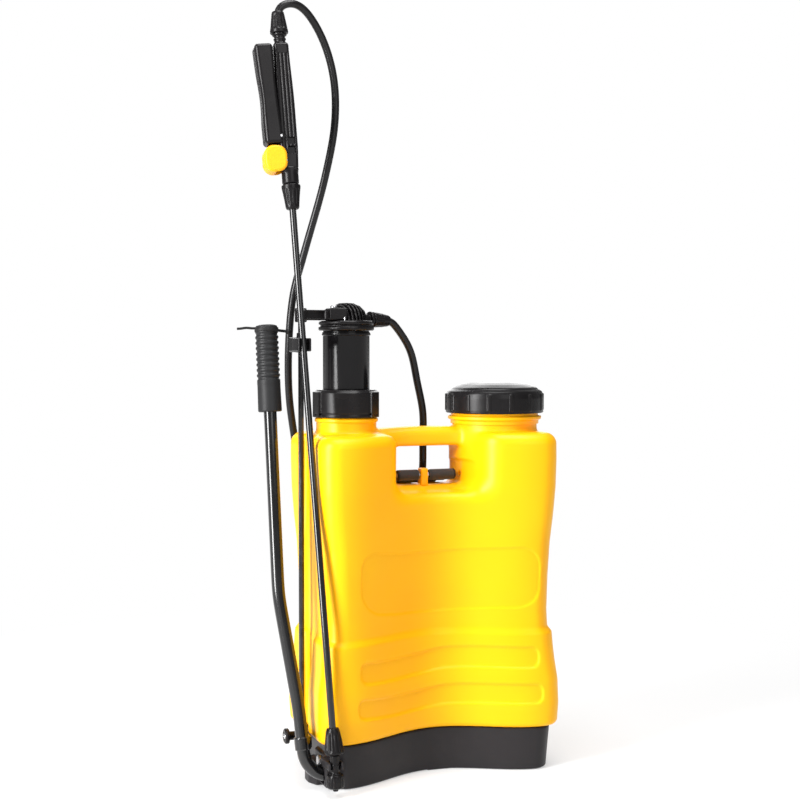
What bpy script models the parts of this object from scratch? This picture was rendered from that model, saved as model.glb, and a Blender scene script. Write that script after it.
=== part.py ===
"""Hand-pumped backpack sprayer, 20 litre class.

Frame: metres, +Z up, origin on the ground under the middle of the tank.
+X runs from the pump neck towards the filler neck, and the pump lever is on the -X side.
-Y is the outer face, called the front here. +Y is the back, which lies against the wearer.
"""

import math

import bmesh
import bpy
from mathutils import Matrix, Vector

# ---------------------------------------------------------------- shared dimensions
UP = (0, 0, 1)
ALONG_X = (1, 0, 0)
ORIGIN = (0, 0, 0)

GAP = 0.0003                            # gap between pieces that rest on each other
WALL = 0.003                            # tank and base wall
BASE_TOP = 0.0625                       # seam between base and tank

NECK_X = 0.116                          # from the middle of the tank to either neck axis
PUMP = (-NECK_X, 0.0, 0)                # axis of the pump neck
FILLER = (NECK_X, 0.0, 0)               # axis of the filler neck
CHAMBER_R = 0.0335                      # air chamber outer radius
CHAMBER_LOW, CHAMBER_TOP = 0.412, 0.6360

ROD = (-0.1830, 0.0020, 0)              # axis of the connecting rod
ROD_X, ROD_Y, _ = ROD

PIVOT_Y, PIVOT_Z = -0.074, 0.0185       # lever shaft axis, along X
CRANK_R = 0.082                         # from the lever shaft to the rod pin
CRANK_REST = math.radians(34.0)         # the crank stands this far above level at rest
CRANK_PIN = Vector((-0.1898, PIVOT_Y + CRANK_R * math.cos(CRANK_REST),
                    PIVOT_Z + CRANK_R * math.sin(CRANK_REST)))
LEVER_R = 0.0090                        # lever tube outer radius
LEVER_BORE = LEVER_R + GAP              # bore of the pieces on the lever tube

HOSE_R = 0.0055                         # hose outer radius
HOSE_BORE = HOSE_R + 0.0010             # bore of the nut at the top of the valve handle

LANCE_R = 0.0048                        # lance tube outer radius
LANCE_BORE = LANCE_R + GAP              # bore of the nuts on the lance tube
LANCE_LOW = Vector((-0.1725, -0.112, 0.0950))    # upper end of the nozzle nut
LANCE_TOP = Vector((-0.2035, -0.030, 0.8050))    # where the tube enters the handle
LANCE_DIR = (LANCE_TOP - LANCE_LOW).normalized()

STRAP_BAR = (-0.002, -0.010, 0.4265)    # middle of the bar in the tank window, along X

# ---------------------------------------------------------------- clean scene
for old in list(bpy.data.objects):
    bpy.data.objects.remove(old, do_unlink=True)


# ---------------------------------------------------------------- materials
def new_material(name, colour, roughness, metallic=0.0):
    material = bpy.data.materials.new(name)
    material.use_nodes = True
    shader = material.node_tree.nodes["Principled BSDF"]
    shader.inputs["Base Color"].default_value = (*colour, 1.0)
    shader.inputs["Roughness"].default_value = roughness
    shader.inputs["Metallic"].default_value = metallic
    material.diffuse_color = (*colour, 1.0)
    return material


YELLOW = new_material("tank_yellow", colour=(0.98, 0.62, 0.01), roughness=0.38)
TRIM = new_material("trim_yellow", colour=(0.98, 0.60, 0.02), roughness=0.42)
BLACK = new_material("black_plastic", colour=(0.022, 0.021, 0.022), roughness=0.36)
GLOSS = new_material("black_gloss", colour=(0.018, 0.017, 0.018), roughness=0.20)
PAINT = new_material("painted_tube", colour=(0.015, 0.015, 0.016), roughness=0.22, metallic=0.1)
RUBBER = new_material("rubber", colour=(0.030, 0.030, 0.031), roughness=0.62)
STEEL = new_material("steel", colour=(0.62, 0.62, 0.64), roughness=0.30, metallic=1.0)
WEBBING = new_material("webbing", colour=(0.020, 0.020, 0.022), roughness=0.85)
WHITE = new_material("natural_plastic", colour=(0.80, 0.80, 0.77), roughness=0.50)
BRASS = new_material("brass", colour=(0.70, 0.52, 0.22), roughness=0.30, metallic=1.0)


# ---------------------------------------------------------------- solids
def add_solid(name, bm, material, sharp_degrees=30.0):
    """Turn a bmesh into a smooth-shaded object with its sharper edges marked."""
    bmesh.ops.recalc_face_normals(bm, faces=bm.faces)
    mesh = bpy.data.meshes.new(name)
    bm.to_mesh(mesh)
    bm.free()
    obj = bpy.data.objects.new(name, mesh)
    bpy.context.scene.collection.objects.link(obj)
    if material is not None:
        mesh.materials.append(material)
    mesh.shade_smooth()
    mesh.set_sharp_from_angle(angle=math.radians(sharp_degrees))
    return obj


def turned(name, profile, at, material, steps, axis=UP):
    """A turned piece. The profile is a closed loop of (radius, height) points."""
    bm = bmesh.new()
    verts = [bm.verts.new((radius, 0.0, z)) for radius, z in profile]
    edges = []
    for i, vert in enumerate(verts):
        following = (i + 1) % len(verts)
        if profile[i][0] > 0 or profile[following][0] > 0:
            edges.append(bm.edges.new((vert, verts[following])))
    bmesh.ops.spin(bm, geom=verts + edges, cent=ORIGIN, axis=UP, angle=2 * math.pi,
                   steps=steps, use_merge=False, use_duplicate=False)
    bmesh.ops.remove_doubles(bm, verts=bm.verts, dist=1e-6)
    bmesh.ops.dissolve_degenerate(bm, edges=bm.edges, dist=1e-7)
    obj = add_solid(name, bm, material)
    obj.location = at
    if tuple(axis) != UP:
        obj.rotation_mode = "QUATERNION"
        obj.rotation_quaternion = Vector(UP).rotation_difference(Vector(axis).normalized())
    return obj


def cylinder(name, radius, low, high, at, material, steps, axis=UP):
    profile = [(0, low), (radius, low), (radius, high), (0, high)]
    return turned(name, profile, at, material, steps, axis)


def tube(name, inner, outer, low, high, at, material, steps, axis=UP):
    profile = [(inner, low), (outer, low), (outer, high), (inner, high)]
    return turned(name, profile, at, material, steps, axis)


def block(name, size, at, material=None, bevel=0.0, segments=1):
    bm = bmesh.new()
    bmesh.ops.create_cube(bm, size=1.0)
    bmesh.ops.scale(bm, vec=size, verts=bm.verts)
    if bevel:
        bmesh.ops.bevel(bm, geom=bm.edges[:], offset=bevel, segments=segments,
                        affect="EDGES", profile=0.5)
    obj = add_solid(name, bm, material)
    obj.location = at
    return obj


def skin(bm, rings):
    """Join each ring of vertices to the next with quads and close both ends."""
    count = len(rings[0])
    for lower, upper in zip(rings, rings[1:]):
        for i in range(count):
            j = (i + 1) % count
            bm.faces.new((lower[i], lower[j], upper[j], upper[i]))
    bm.faces.new(rings[0][::-1])
    bm.faces.new(rings[-1])


def swept(name, points, radius, material, resolution, wall=0.0):
    """A round bar along a list of points, or a tube when a wall is given."""
    curve = bpy.data.curves.new(name, "CURVE")
    curve.dimensions = "3D"
    curve.bevel_depth = radius
    curve.bevel_resolution = resolution
    curve.use_fill_caps = not wall
    curve.twist_mode = "MINIMUM"
    spline = curve.splines.new("POLY")
    spline.points.add(len(points) - 1)
    for spline_point, point in zip(spline.points, points):
        spline_point.co = (*point, 1.0)
    obj = bpy.data.objects.new(name, curve)
    bpy.context.scene.collection.objects.link(obj)
    curve.materials.append(material)
    if wall:
        shell = obj.modifiers.new("wall", "SOLIDIFY")
        shell.thickness = wall
        shell.offset = -1.0
    return obj


# ---------------------------------------------------------------- booleans
def boolean(obj, tools, operation):
    for tool in tools:
        modifier = obj.modifiers.new(operation.lower(), "BOOLEAN")
        modifier.operation = operation
        modifier.object = tool
        modifier.solver = "EXACT"
        tool.hide_render = True
        tool.display_type = "WIRE"


def cut(obj, *tools):
    boolean(obj, tools, "DIFFERENCE")


def join(obj, *tools):
    boolean(obj, tools, "UNION")


# ---------------------------------------------------------------- paths and places
def around(axis_at, radius, angle, z):
    """The point at a radius and angle round an upright axis."""
    return (axis_at[0] + radius * math.cos(angle), axis_at[1] + radius * math.sin(angle), z)


def rounded(points, radius, steps):
    """A path with its inner corners rounded to arcs."""
    points = [Vector(point) for point in points]
    path = [points[0]]
    for before, corner, after in zip(points, points[1:], points[2:]):
        to_before = (before - corner).normalized()
        to_after = (after - corner).normalized()
        half = 0.5 * to_before.angle(to_after)
        trim = min(radius / math.tan(half), 0.49 * (before - corner).length,
                   0.49 * (after - corner).length)
        arc_radius = trim * math.tan(half)
        centre = corner + (to_before + to_after).normalized() * (arc_radius / math.sin(half))
        arc_start = corner + to_before * trim - centre
        arc_end = corner + to_after * trim - centre
        for i in range(steps + 1):
            spoke = arc_start.slerp(arc_end, i / steps)
            path.append(centre + spoke.normalized() * arc_radius)
    path.append(points[-1])
    return path


def flowing(points):
    """A centripetal Catmull-Rom path. Spans over 12 mm are divided into three."""
    knots = [Vector(point) for point in points]
    knots = [knots[0] * 2 - knots[1]] + knots + [knots[-1] * 2 - knots[-2]]
    path = []
    for span in zip(knots, knots[1:], knots[2:], knots[3:]):
        times = [0.0]
        for start, end in zip(span, span[1:]):
            times.append(times[-1] + (end - start).length ** 0.5)

        def blend(first, second, low, high, now):
            return first.lerp(second, (now - times[low]) / (times[high] - times[low]))

        steps = 3 if (span[2] - span[1]).length > 0.012 else 1
        for i in range(steps):
            now = times[1] + (times[2] - times[1]) * i / steps
            lines = [blend(span[k], span[k + 1], k, k + 1, now) for k in range(3)]
            curves = [blend(lines[k], lines[k + 1], k, k + 2, now) for k in range(2)]
            path.append(blend(curves[0], curves[1], 1, 2, now))
    path.append(knots[-2])
    return path


# ---------------------------------------------------------------- body outline
BACK_CORNER_R, FRONT_CORNER_R = 0.030, 0.028
CORNER_STEPS = 4
FRONT_POINTS = 13                       # points between the two front corners
DENT_REACH = 0.152                      # half width of the hollow in the front face


def outline(half_width, front, back, dent, inset):
    """Plan of the body, anticlockwise: a rounded box hollowed in the middle of its front."""
    half_width, front, back = half_width - inset, front - inset, back - inset
    back_radius, front_radius = BACK_CORNER_R - inset, FRONT_CORNER_R - inset
    back_x, back_y = half_width - back_radius, back - back_radius
    front_x, front_y = half_width - front_radius, -(front - front_radius)

    def corner(x, y, radius, start):
        angles = [math.radians(start + 90 * i / CORNER_STEPS) for i in range(CORNER_STEPS + 1)]
        return [(x + radius * math.cos(angle), y + radius * math.sin(angle)) for angle in angles]

    points = corner(back_x, back_y, back_radius, 0)
    points += [(back_x * (1 - 2 * i / 3), back) for i in (1, 2)]
    points += corner(-back_x, back_y, back_radius, 90)
    points += corner(-front_x, front_y, front_radius, 180)
    points += [(-front_x + 2 * front_x * i / (FRONT_POINTS + 1), -front)
               for i in range(1, FRONT_POINTS + 1)]
    points += corner(front_x, front_y, front_radius, 270)

    def hollow(x, y):
        if abs(x) < DENT_REACH and y < 0:
            return dent * 0.5 * (1 + math.cos(math.pi * x / DENT_REACH))
        return 0.0

    return [(x, y + hollow(x, y)) for x, y in points]


def dent_at(z):
    """Depth of the front hollow, which gets shallower up the tank."""
    return 0.050 - 0.012 * max(0.0, min(1.0, (z - 0.22) / 0.27))


def lofted(name, levels, material, inset=0.0, end_inset=0.0):
    """A body through outlines at levels, inset from its sides and from its two ends."""
    bm = bmesh.new()
    heights = [level[0] for level in levels]
    heights[0] += end_inset
    heights[-1] -= end_inset
    rings = []
    for height, (z, half_width, front, back) in zip(heights, levels):
        points = outline(half_width, front, back, dent_at(z), inset)
        rings.append([bm.verts.new((x, y, height)) for x, y in points])
    skin(bm, rings)
    bmesh.ops.triangulate(bm, faces=[face for face in bm.faces if len(face.verts) > 4])
    return add_solid(name, bm, material, sharp_degrees=35.0)


# ---------------------------------------------------------------- tank
# height, half width, front half depth, back half depth
TANK_LEVELS = [
    (0.0630, 0.1740, 0.0950, 0.0860), (0.0690, 0.1800, 0.1000, 0.0900),
    (0.0950, 0.1835, 0.1030, 0.0930), (0.1300, 0.1825, 0.1020, 0.0925),
    (0.1580, 0.1785, 0.0995, 0.0915), (0.1870, 0.1755, 0.0975, 0.0905),
    (0.1990, 0.1700, 0.0930, 0.0880), (0.2300, 0.1685, 0.0920, 0.0870),
    (0.2800, 0.1700, 0.0930, 0.0875), (0.3300, 0.1725, 0.0950, 0.0885),
    (0.3700, 0.1765, 0.0975, 0.0900), (0.4100, 0.1795, 0.1000, 0.0915),
    (0.4500, 0.1805, 0.1005, 0.0920), (0.4720, 0.1790, 0.0990, 0.0910),
    (0.4830, 0.1740, 0.0940, 0.0860), (0.4890, 0.1630, 0.0830, 0.0760),
]
# radius, height
PUMP_NECK = [
    (0, 0.470), (0.0470, 0.470), (0.0450, 0.490), (0.0432, 0.498), (0.0432, 0.5060),
    (0.0456, 0.5072), (0.0456, 0.5100), (0.0425, 0.5112), (0.0425, 0.5400), (0, 0.5400),
]
FILLER_NECK = [
    (0, 0.470), (0.0640, 0.470), (0.0628, 0.488), (0.0628, 0.5040), (0.0690, 0.5060),
    (0.0690, 0.5120), (0.0655, 0.5135), (0.0655, 0.5448), (0, 0.5448),
]
SCOOP = (0.110, 0.110, 0.130)           # size of the cutters either side of the grip bar


def tank_cavity():
    """Inside of the tank, kept clear of the grip and the rod channel, open at both necks."""
    cavity = lofted("cut_cavity", TANK_LEVELS, None, inset=WALL, end_inset=WALL)
    cut(cavity,
        block("cut_guard", (0.122, 0.300, 0.150), (-0.004, 0.0, 0.4740)),
        block("cut_channel_guard", (0.060, 0.056, 0.520), (-0.1945, ROD_Y, 0.3000)))
    join(cavity,
         cylinder("cut_pump_bore", 0.0392, 0.440, 0.560, PUMP, None, 24),
         cylinder("cut_fill_bore", 0.0590, 0.440, 0.560, FILLER, None, 30))
    return cavity


def build_tank():
    tank = lofted("tank", TANK_LEVELS, YELLOW)
    # the grip bar is left standing between two scoops, above a window
    cut(tank,
        block("cut_front_scoop", SCOOP, (-0.001, -0.073, 0.4720), None, 0.012, 2),
        block("cut_back_scoop", SCOOP, (-0.001, 0.077, 0.4670), None, 0.012, 2))
    join(tank, block("cut_grip_bar", (0.150, 0.040, 0.034), (0.0, 0.002, 0.4795),
                     YELLOW, 0.009, 2))
    cut(tank,
        block("cut_window", (0.1005, 0.120, 0.0555), (0.00175, 0.0, 0.44125), None, 0.006, 2),
        block("cut_rod_channel", (0.040, 0.050, 0.480), (-0.1875, ROD_Y, 0.2900), None, 0.006))
    join(tank,
         turned("cut_pump_neck", PUMP_NECK, PUMP, YELLOW, 24),
         turned("cut_fill_neck", FILLER_NECK, FILLER, YELLOW, 30))
    cut(tank, tank_cavity())
    # lug in the window that carries the strap bar
    lug_at = (STRAP_BAR[0], STRAP_BAR[1], STRAP_BAR[2] - 0.0020)
    join(tank, block("cut_lug", (0.0110, 0.016, 0.0240), lug_at, YELLOW, 0.002))
    cut(tank, cylinder("cut_lug_bore", 0.0043, -0.02, 0.02, STRAP_BAR, None, 12, ALONG_X))


# ---------------------------------------------------------------- base
# height, half width, front half depth, back half depth
BASE_LEVELS = [
    (0.0005, 0.1660, 0.0930, 0.0840), (0.0030, 0.1675, 0.0945, 0.0855),
    (BASE_TOP - GAP, 0.1720, 0.0960, 0.0875),
]
BASE_HOLLOW_LEVELS = [
    (-0.010, 0.1655, 0.0925, 0.0835), (0.0040, 0.1676, 0.0946, 0.0856),
    (BASE_TOP - 0.0038, 0.1717, 0.0958, 0.0873),
]
CLIP_X = -0.1706                        # middle of the clip at the front of the base
POST_X = -0.1345                        # post that carries the inner end of the lever shaft
FOOT_TOP = BASE_TOP - 0.0072
FEET = [
    ("front_left", -0.086, -0.058), ("front_right", 0.118, -0.060),
    ("back_left", -0.125, 0.055), ("back_right", 0.125, 0.055),
]


def build_base():
    base = lofted("base", BASE_LEVELS, BLACK)
    cut(base, lofted("cut_base_hollow", BASE_HOLLOW_LEVELS, None, inset=WALL))
    # room for the crank on the lever side
    join(base, block("cut_cheek", (0.0430, 0.0640, 0.0320), (-0.1770, -0.0020, 0.0201),
                     BLACK, 0.0020))
    cut(base, block("cut_crank_room", (0.0260, 0.1000, 0.0700), (-0.1825, -0.0230, 0.0180)))
    # pivot block for the lever shaft, at the front corner, and a forked clip on its front
    join(base,
         block("cut_housing", (0.0300, 0.0560, 0.0460), (-0.1610, -0.0630, 0.0268),
               BLACK, 0.0030),
         block("cut_clip", (0.0220, 0.0400, 0.0110), (CLIP_X, -0.1040, 0.0430), BLACK, 0.0015))
    cut(base, block("cut_clip_throat", (0.0152, 0.0300, 0.0300), (CLIP_X, -0.1235, 0.0430)))
    centre_post = [(0, 0.0), (0.0120, 0.0), (0.0130, 0.0015), (0.0130, 0.0600), (0, 0.0600)]
    join(base,
         turned("cut_centre_post", centre_post, ORIGIN, BLACK, 20),
         block("cut_mid_foot", (0.034, 0.016, 0.0120), (0.010, -0.0370, 0.0060), BLACK, 0.0015),
         block("cut_inner_post", (0.0110, 0.0240, 0.0500), (POST_X, PIVOT_Y + 0.0020, 0.0350),
               BLACK, 0.001))
    cut(base,
        cylinder("cut_shaft_bore", 0.0120, -0.030, 0.030, (-0.163, PIVOT_Y, PIVOT_Z),
                 None, 20, ALONG_X),
        cylinder("cut_post_bore", 0.0093, -0.02, 0.02, (POST_X, PIVOT_Y, PIVOT_Z),
                 None, 20, ALONG_X))


def build_pivot_screw():
    profile = [(0, GAP), (0.0070, GAP), (0.0078, 0.0012), (0.0078, 0.0040),
               (0.0060, 0.0052), (0, 0.0052)]
    turned("pivot_screw", profile, (-0.1760, -0.0690, 0.0385), STEEL, 16, (-1, 0, 0))


def build_feet():
    profile = [(0, 0.0), (0.0085, 0.0), (0.0100, 0.0015), (0.0100, 0.0530),
               (0.0085, FOOT_TOP), (0, FOOT_TOP)]
    for place, x, y in FEET:
        turned("foot_" + place, profile, (x, y, 0), RUBBER, 14)


def build_strap_studs():
    """Headed studs low on the two sides of the base."""
    profile = [(0, GAP), (0.0080, GAP), (0.0080, 0.0190), (0.0110, 0.0200),
               (0.0110, 0.0240), (0.0085, 0.0258), (0, 0.0258)]
    for place, side in (("left", -1), ("right", 1)):
        turned("strap_stud_" + place, profile, (side * 0.1719, 0.0450, 0.0450), BLACK, 16,
               (side, 0, 0))


# ---------------------------------------------------------------- pump: fixed pieces
NUT_LOW, NUT_TOP = 0.5125, 0.5520       # collar nut on the pump neck
NUT_SEAT = NUT_TOP - 0.0040             # underside of its top
NUT_R, NUT_INNER_R = 0.0470, 0.0430
NUT_TOP_BORE = CHAMBER_R + 0.0012


def build_collar_nut():
    profile = [(NUT_TOP_BORE, NUT_SEAT), (NUT_TOP_BORE, NUT_TOP), (0.0430, NUT_TOP),
               (NUT_R, NUT_TOP - 0.0045), (NUT_R, NUT_LOW), (NUT_INNER_R, NUT_LOW),
               (NUT_INNER_R, NUT_SEAT)]
    nut = turned("collar_nut", profile, PUMP, BLACK, 24)
    lobe_size = (0.0100, 0.0170, NUT_TOP - NUT_LOW - 0.0020)
    lobe_z = (NUT_LOW + NUT_TOP) / 2 - 0.001
    for k in range(6):
        angle = math.radians(60 * k + 12)
        lobe = block(f"cut_nut_lobe_{k}", lobe_size, around(PUMP, 0.0445, angle, lobe_z),
                     BLACK, 0.0018)
        lobe.rotation_euler = (0, 0, angle)
        join(nut, lobe)
    # the lobes reach inwards, so the inside is cleared again
    cut(nut, cylinder("cut_nut_clear", NUT_INNER_R, NUT_LOW - 0.01, NUT_SEAT, PUMP, None, 24))


def build_pump_cylinder():
    cylinder_bore = 0.0356
    profile = [(cylinder_bore, 0.3000), (0.0380, 0.3000), (0.0380, 0.5403), (0.0422, 0.5403),
               (0.0422, 0.5430), (cylinder_bore, 0.5430)]
    turned("pump_cylinder", profile, PUMP, WHITE, 24)
    tube("cylinder_gasket", 0.0358, 0.0420, 0.5433, 0.5450, PUMP, RUBBER, 24)
    foot = [(0.0070, 0.2860), (0.0395, 0.2860), (0.0395, 0.3080), (0.0383, 0.3080),
            (0.0383, 0.2997), (0.0350, 0.2997), (0.0350, 0.2940), (0.0070, 0.2940)]
    turned("cylinder_foot", foot, PUMP, WHITE, 24)


def build_intake():
    cylinder("intake_valve", 0.0120, 0.2943, 0.2973, PUMP, RUBBER, 20)
    strainer = [(0.0150, 0.2660), (0.0300, 0.2660), (0.0300, 0.2857), (0.0280, 0.2857),
                (0.0280, 0.2680), (0.0150, 0.2680)]
    turned("intake_strainer", strainer, PUMP, WHITE, 20)


# ---------------------------------------------------------------- pump: chamber and piston
RISER = (PUMP[0] + 0.014, PUMP[1], 0)   # axis of the riser tube in the chamber
OUTLET = Vector((PUMP[0], PUMP[1], 0.6545))
OUTLET_TURN = math.radians(14)          # from +X towards the wearer
OUTLET_DIR = Vector((math.cos(OUTLET_TURN), math.sin(OUTLET_TURN), -0.05)).normalized()
HEAD_R = CHAMBER_R - 0.0030             # plug of the head, inside the chamber wall


def build_air_chamber():
    inner, floor = CHAMBER_R - 0.0025, CHAMBER_LOW + 0.0040
    profile = [(0.0120, CHAMBER_LOW), (CHAMBER_R, CHAMBER_LOW), (CHAMBER_R, CHAMBER_TOP),
               (inner, CHAMBER_TOP), (inner, floor), (0.0120, floor)]
    turned("air_chamber", profile, PUMP, GLOSS, 24)
    tube("riser_tube", 0.0036, 0.0055, CHAMBER_LOW + 0.0200, 0.6520, RISER, WHITE, 12)


def build_piston():
    """Seal, hub and valve under the air chamber. Heights are from the chamber's lower end."""
    seal = [(0.0125, -0.0110), (0.0330, -0.0110), (0.0354, -0.0130), (0.0354, -0.0010),
            (0.0125, -0.0010)]
    hub = [(0.0045, -0.0220), (0.0200, -0.0220), (0.0200, -0.0115), (0.0117, -0.0115),
           (0.0117, 0.0100), (0.0085, 0.0100), (0.0085, -0.0060), (0.0045, -0.0060)]
    valve = [(0, -0.0057), (0.0068, -0.0057), (0.0068, -0.0027), (0, -0.0027)]
    for name, profile, material, steps in (("piston_seal", seal, RUBBER, 24),
                                           ("piston_hub", hub, WHITE, 20),
                                           ("discharge_valve", valve, RUBBER, 16)):
        raised = [(radius, CHAMBER_LOW + z) for radius, z in profile]
        turned(name, raised, PUMP, material, steps)


def build_chamber_head():
    """Flange, ribbed dome and hose outlet."""
    profile = [
        (0, 0.6480), (HEAD_R, 0.6480), (HEAD_R, CHAMBER_TOP + GAP),
        (0.0385, CHAMBER_TOP + GAP), (0.0398, 0.6385), (0.0398, 0.6415), (0.0375, 0.6425),
        (0.0375, 0.6440), (0.0393, 0.6450), (0.0393, 0.6480), (0.0370, 0.6500),
        (0.0290, 0.6505), (0.0280, 0.6560), (0.0245, 0.6640), (0.0185, 0.6705),
        (0.0100, 0.6745), (0, 0.6755),
    ]
    head = turned("chamber_head", profile, PUMP, BLACK, 24)
    spout = [(0, 0.0), (0.0068, 0.0), (0.0068, 0.0390), (0.0100, 0.0392), (0.0100, 0.0430),
             (0, 0.0430)]
    join(head, turned("cut_spout", spout, OUTLET, BLACK, 18, OUTLET_DIR))
    cut(head,
        cylinder("cut_spout_bore", 0.0036, 0.0150, 0.0600, OUTLET, None, 12, OUTLET_DIR),
        cylinder("cut_down_bore", 0.0060, 0.6300, 0.6560, RISER, None, 14))


def build_outlet_nut():
    profile = [(0.0062, 0.0433), (0.0095, 0.0433), (0.0112, 0.0450), (0.0105, 0.0560),
               (0.0080, 0.0720), (0.0062, 0.0720)]
    turned("outlet_nut", profile, OUTLET, BLACK, 20, OUTLET_DIR)


# ---------------------------------------------------------------- pump: arm and rod
HOLDER_Z = 0.616


def build_cross_arm():
    """Arm from the chamber head to the connecting rod."""
    arm = block("cross_arm", (0.0460, 0.0130, 0.0150), (-0.1655, -0.0065, 0.6580),
                BLACK, 0.0015)
    arm.rotation_euler = (0, 0, math.radians(9))
    join(arm,
         block("cut_arm_head", (0.0330, 0.0240, 0.0170), (-0.1330, -0.0190, 0.6595),
               BLACK, 0.0015),
         cylinder("cut_arm_boss", 0.0085, 0.6480, 0.6680, ROD, BLACK, 16))
    # room for the chamber head, a little larger than its dome
    room = [(0, 0.6300), (0.0402, 0.6300), (0.0402, 0.6508), (0.0294, 0.6508),
            (0.0284, 0.6562), (0.0249, 0.6644), (0.0188, 0.6710), (0.0100, 0.6750),
            (0, 0.6800)]
    cut(arm,
        turned("cut_arm_room", room, PUMP, None, 24),
        cylinder("cut_rod_hole", 0.0048, 0.6400, 0.6800, ROD, None, 12))
    screw = [(0, 0.6683), (0.0050, 0.6683), (0.0050, 0.6713), (0, 0.6722)]
    turned("arm_screw", screw, (-0.1405, -0.0190, 0), STEEL, 12)


def build_connecting_rod():
    """Rod with a flat lower end, slotted for the crank pin."""
    low = CRANK_PIN.z + 0.0120
    profile = [(0, low), (0.0040, low), (0.0040, 0.6740), (0.0030, 0.6755), (0, 0.6755)]
    rod = turned("connecting_rod", profile, ROD, PAINT, 12)
    join(rod, block("cut_rod_end", (0.0046, 0.0260, 0.0280),
                    (ROD_X, -0.0028, CRANK_PIN.z + 0.0030), PAINT, 0.0010))
    cut(rod, block("cut_rod_slot", (0.0200, 0.0125, 0.0092),
                   (ROD_X, CRANK_PIN.y + 0.0024, CRANK_PIN.z + 0.0006), None, 0.0030, 2))


def build_lance_holder():
    """Block on the connecting rod with two fingers that reach forward round the lance."""
    fraction = (HOLDER_Z - LANCE_LOW.z) / (LANCE_TOP.z - LANCE_LOW.z)
    lance_x, lance_y, _ = LANCE_LOW.lerp(LANCE_TOP, fraction)
    fork_x = lance_x + 0.0010
    holder = block("lance_holder", (0.0235, 0.0360, 0.0210),
                   (ROD_X - 0.00425, ROD_Y - 0.0100, HOLDER_Z), BLACK, 0.0012)
    join(holder, block("cut_finger", (0.0250, 0.0520, 0.0200),
                       (fork_x, lance_y + 0.0040, HOLDER_Z), BLACK, 0.0012))
    cut(holder,
        block("cut_throat", (0.0160, 0.0560, 0.0600), (fork_x, lance_y - 0.0100, HOLDER_Z)),
        cylinder("cut_holder_bore", 0.0042, 0.58, 0.66, ROD, None, 12))


# ---------------------------------------------------------------- lever
LEVER_ELBOW = Vector((-0.1990, PIVOT_Y, PIVOT_Z))    # where the shaft turns up
LEVER_KNEE = Vector((-0.2050, -0.0600, 0.1100))
LEVER_BEND = Vector((-0.2285, -0.0400, 0.2680))
LEVER_TOP = Vector((-0.2362, -0.0095, 0.6360))
GRIP_DIR = (LEVER_TOP - LEVER_BEND).normalized()
GRIP_BASE = LEVER_TOP - GRIP_DIR * 0.1140
GRIP_GROOVES = 8
GROOVE_PITCH = 0.0085
CRANK_THICK = 0.0040
CRANK_START_Y = -0.0660                 # front end of the crank plate


def build_lever_tube():
    corners = [(-0.1220, PIVOT_Y, PIVOT_Z), LEVER_ELBOW, LEVER_KNEE, LEVER_BEND, LEVER_TOP]
    swept("lever_tube", rounded(corners, 0.030, 5), LEVER_R, PAINT, 3, wall=0.0016)


def build_lever_grip():
    profile = [(LEVER_BORE, 0.0), (0.0158, 0.0), (0.0166, 0.0015), (0.0162, 0.0380)]
    for k in range(GRIP_GROOVES):
        z = 0.0420 + GROOVE_PITCH * k
        profile += [(0.0160, z), (0.0148, z + 0.0020), (0.0148, z + 0.0040),
                    (0.0160, z + 0.0060)]
    profile += [(0.0152, 0.1120), (0.0152, 0.1185), (0.0135, 0.1215), (0, 0.1215),
                (0, 0.1148), (LEVER_BORE, 0.1148)]
    turned("lever_grip", profile, GRIP_BASE, RUBBER, 14, GRIP_DIR)


def build_crank():
    """Sleeve on the lever with a plate that runs back to the rod pin."""
    fraction = (CRANK_PIN.z - PIVOT_Z) / (LEVER_KNEE.z - PIVOT_Z)
    sleeve_at = LEVER_ELBOW.lerp(LEVER_KNEE, fraction)
    sleeve_dir = (LEVER_KNEE - LEVER_ELBOW).normalized()
    crank = tube("crank_bracket", LEVER_BORE, 0.0122, -0.0090, 0.0090, sleeve_at, PAINT, 20,
                 sleeve_dir)
    half = CRANK_THICK / 2
    plate_at = (CRANK_PIN.x, (CRANK_PIN.y + CRANK_START_Y) / 2, CRANK_PIN.z)
    join(crank,
         block("cut_crank_plate", (CRANK_THICK, CRANK_PIN.y - CRANK_START_Y, 0.0150),
               plate_at, PAINT, 0.0010),
         cylinder("cut_crank_tip", 0.0078, -half, half, CRANK_PIN, PAINT, 16, ALONG_X))
    cut(crank, cylinder("cut_crank_eye", 0.0033, -0.02, 0.02, CRANK_PIN, None, 12, ALONG_X))
    pin = [(0, -0.0030), (0.0052, -0.0030), (0.0052, -GAP), (0.0030, -GAP),
           (0.0030, 0.0145), (0, 0.0145)]
    turned("crank_pin", pin, CRANK_PIN - Vector((half, 0, 0)), STEEL, 12, ALONG_X)


def build_shaft_fittings():
    tube("shaft_bush", LEVER_BORE, 0.0117, -0.0040, 0.0040, (-0.1600, PIVOT_Y, PIVOT_Z),
         WHITE, 20, ALONG_X)
    tube("shaft_clip", LEVER_BORE, 0.0109, -0.0013, 0.0013, (-0.1265, PIVOT_Y, PIVOT_Z),
         STEEL, 18, ALONG_X)


def build_stow_strap():
    """Flat band round the top of the grip, with an end on each side of it."""
    band_at = GRIP_BASE + GRIP_DIR * 0.1150
    band = tube("stow_strap", 0.0155, 0.0168, -0.0016, 0.0016, band_at, RUBBER, 24, GRIP_DIR)
    tail = block("cut_tail", (0.0270, 0.0013, 0.0032),
                 band_at + Vector((-0.0285, 0.0030, 0.0010)), RUBBER)
    reach = block("cut_reach", (0.0195, 0.0013, 0.0032),
                  band_at + Vector((0.0250, -0.0030, -0.0018)), RUBBER)
    reach.rotation_euler = (0, math.radians(5), 0)
    join(band, tail, reach)


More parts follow.
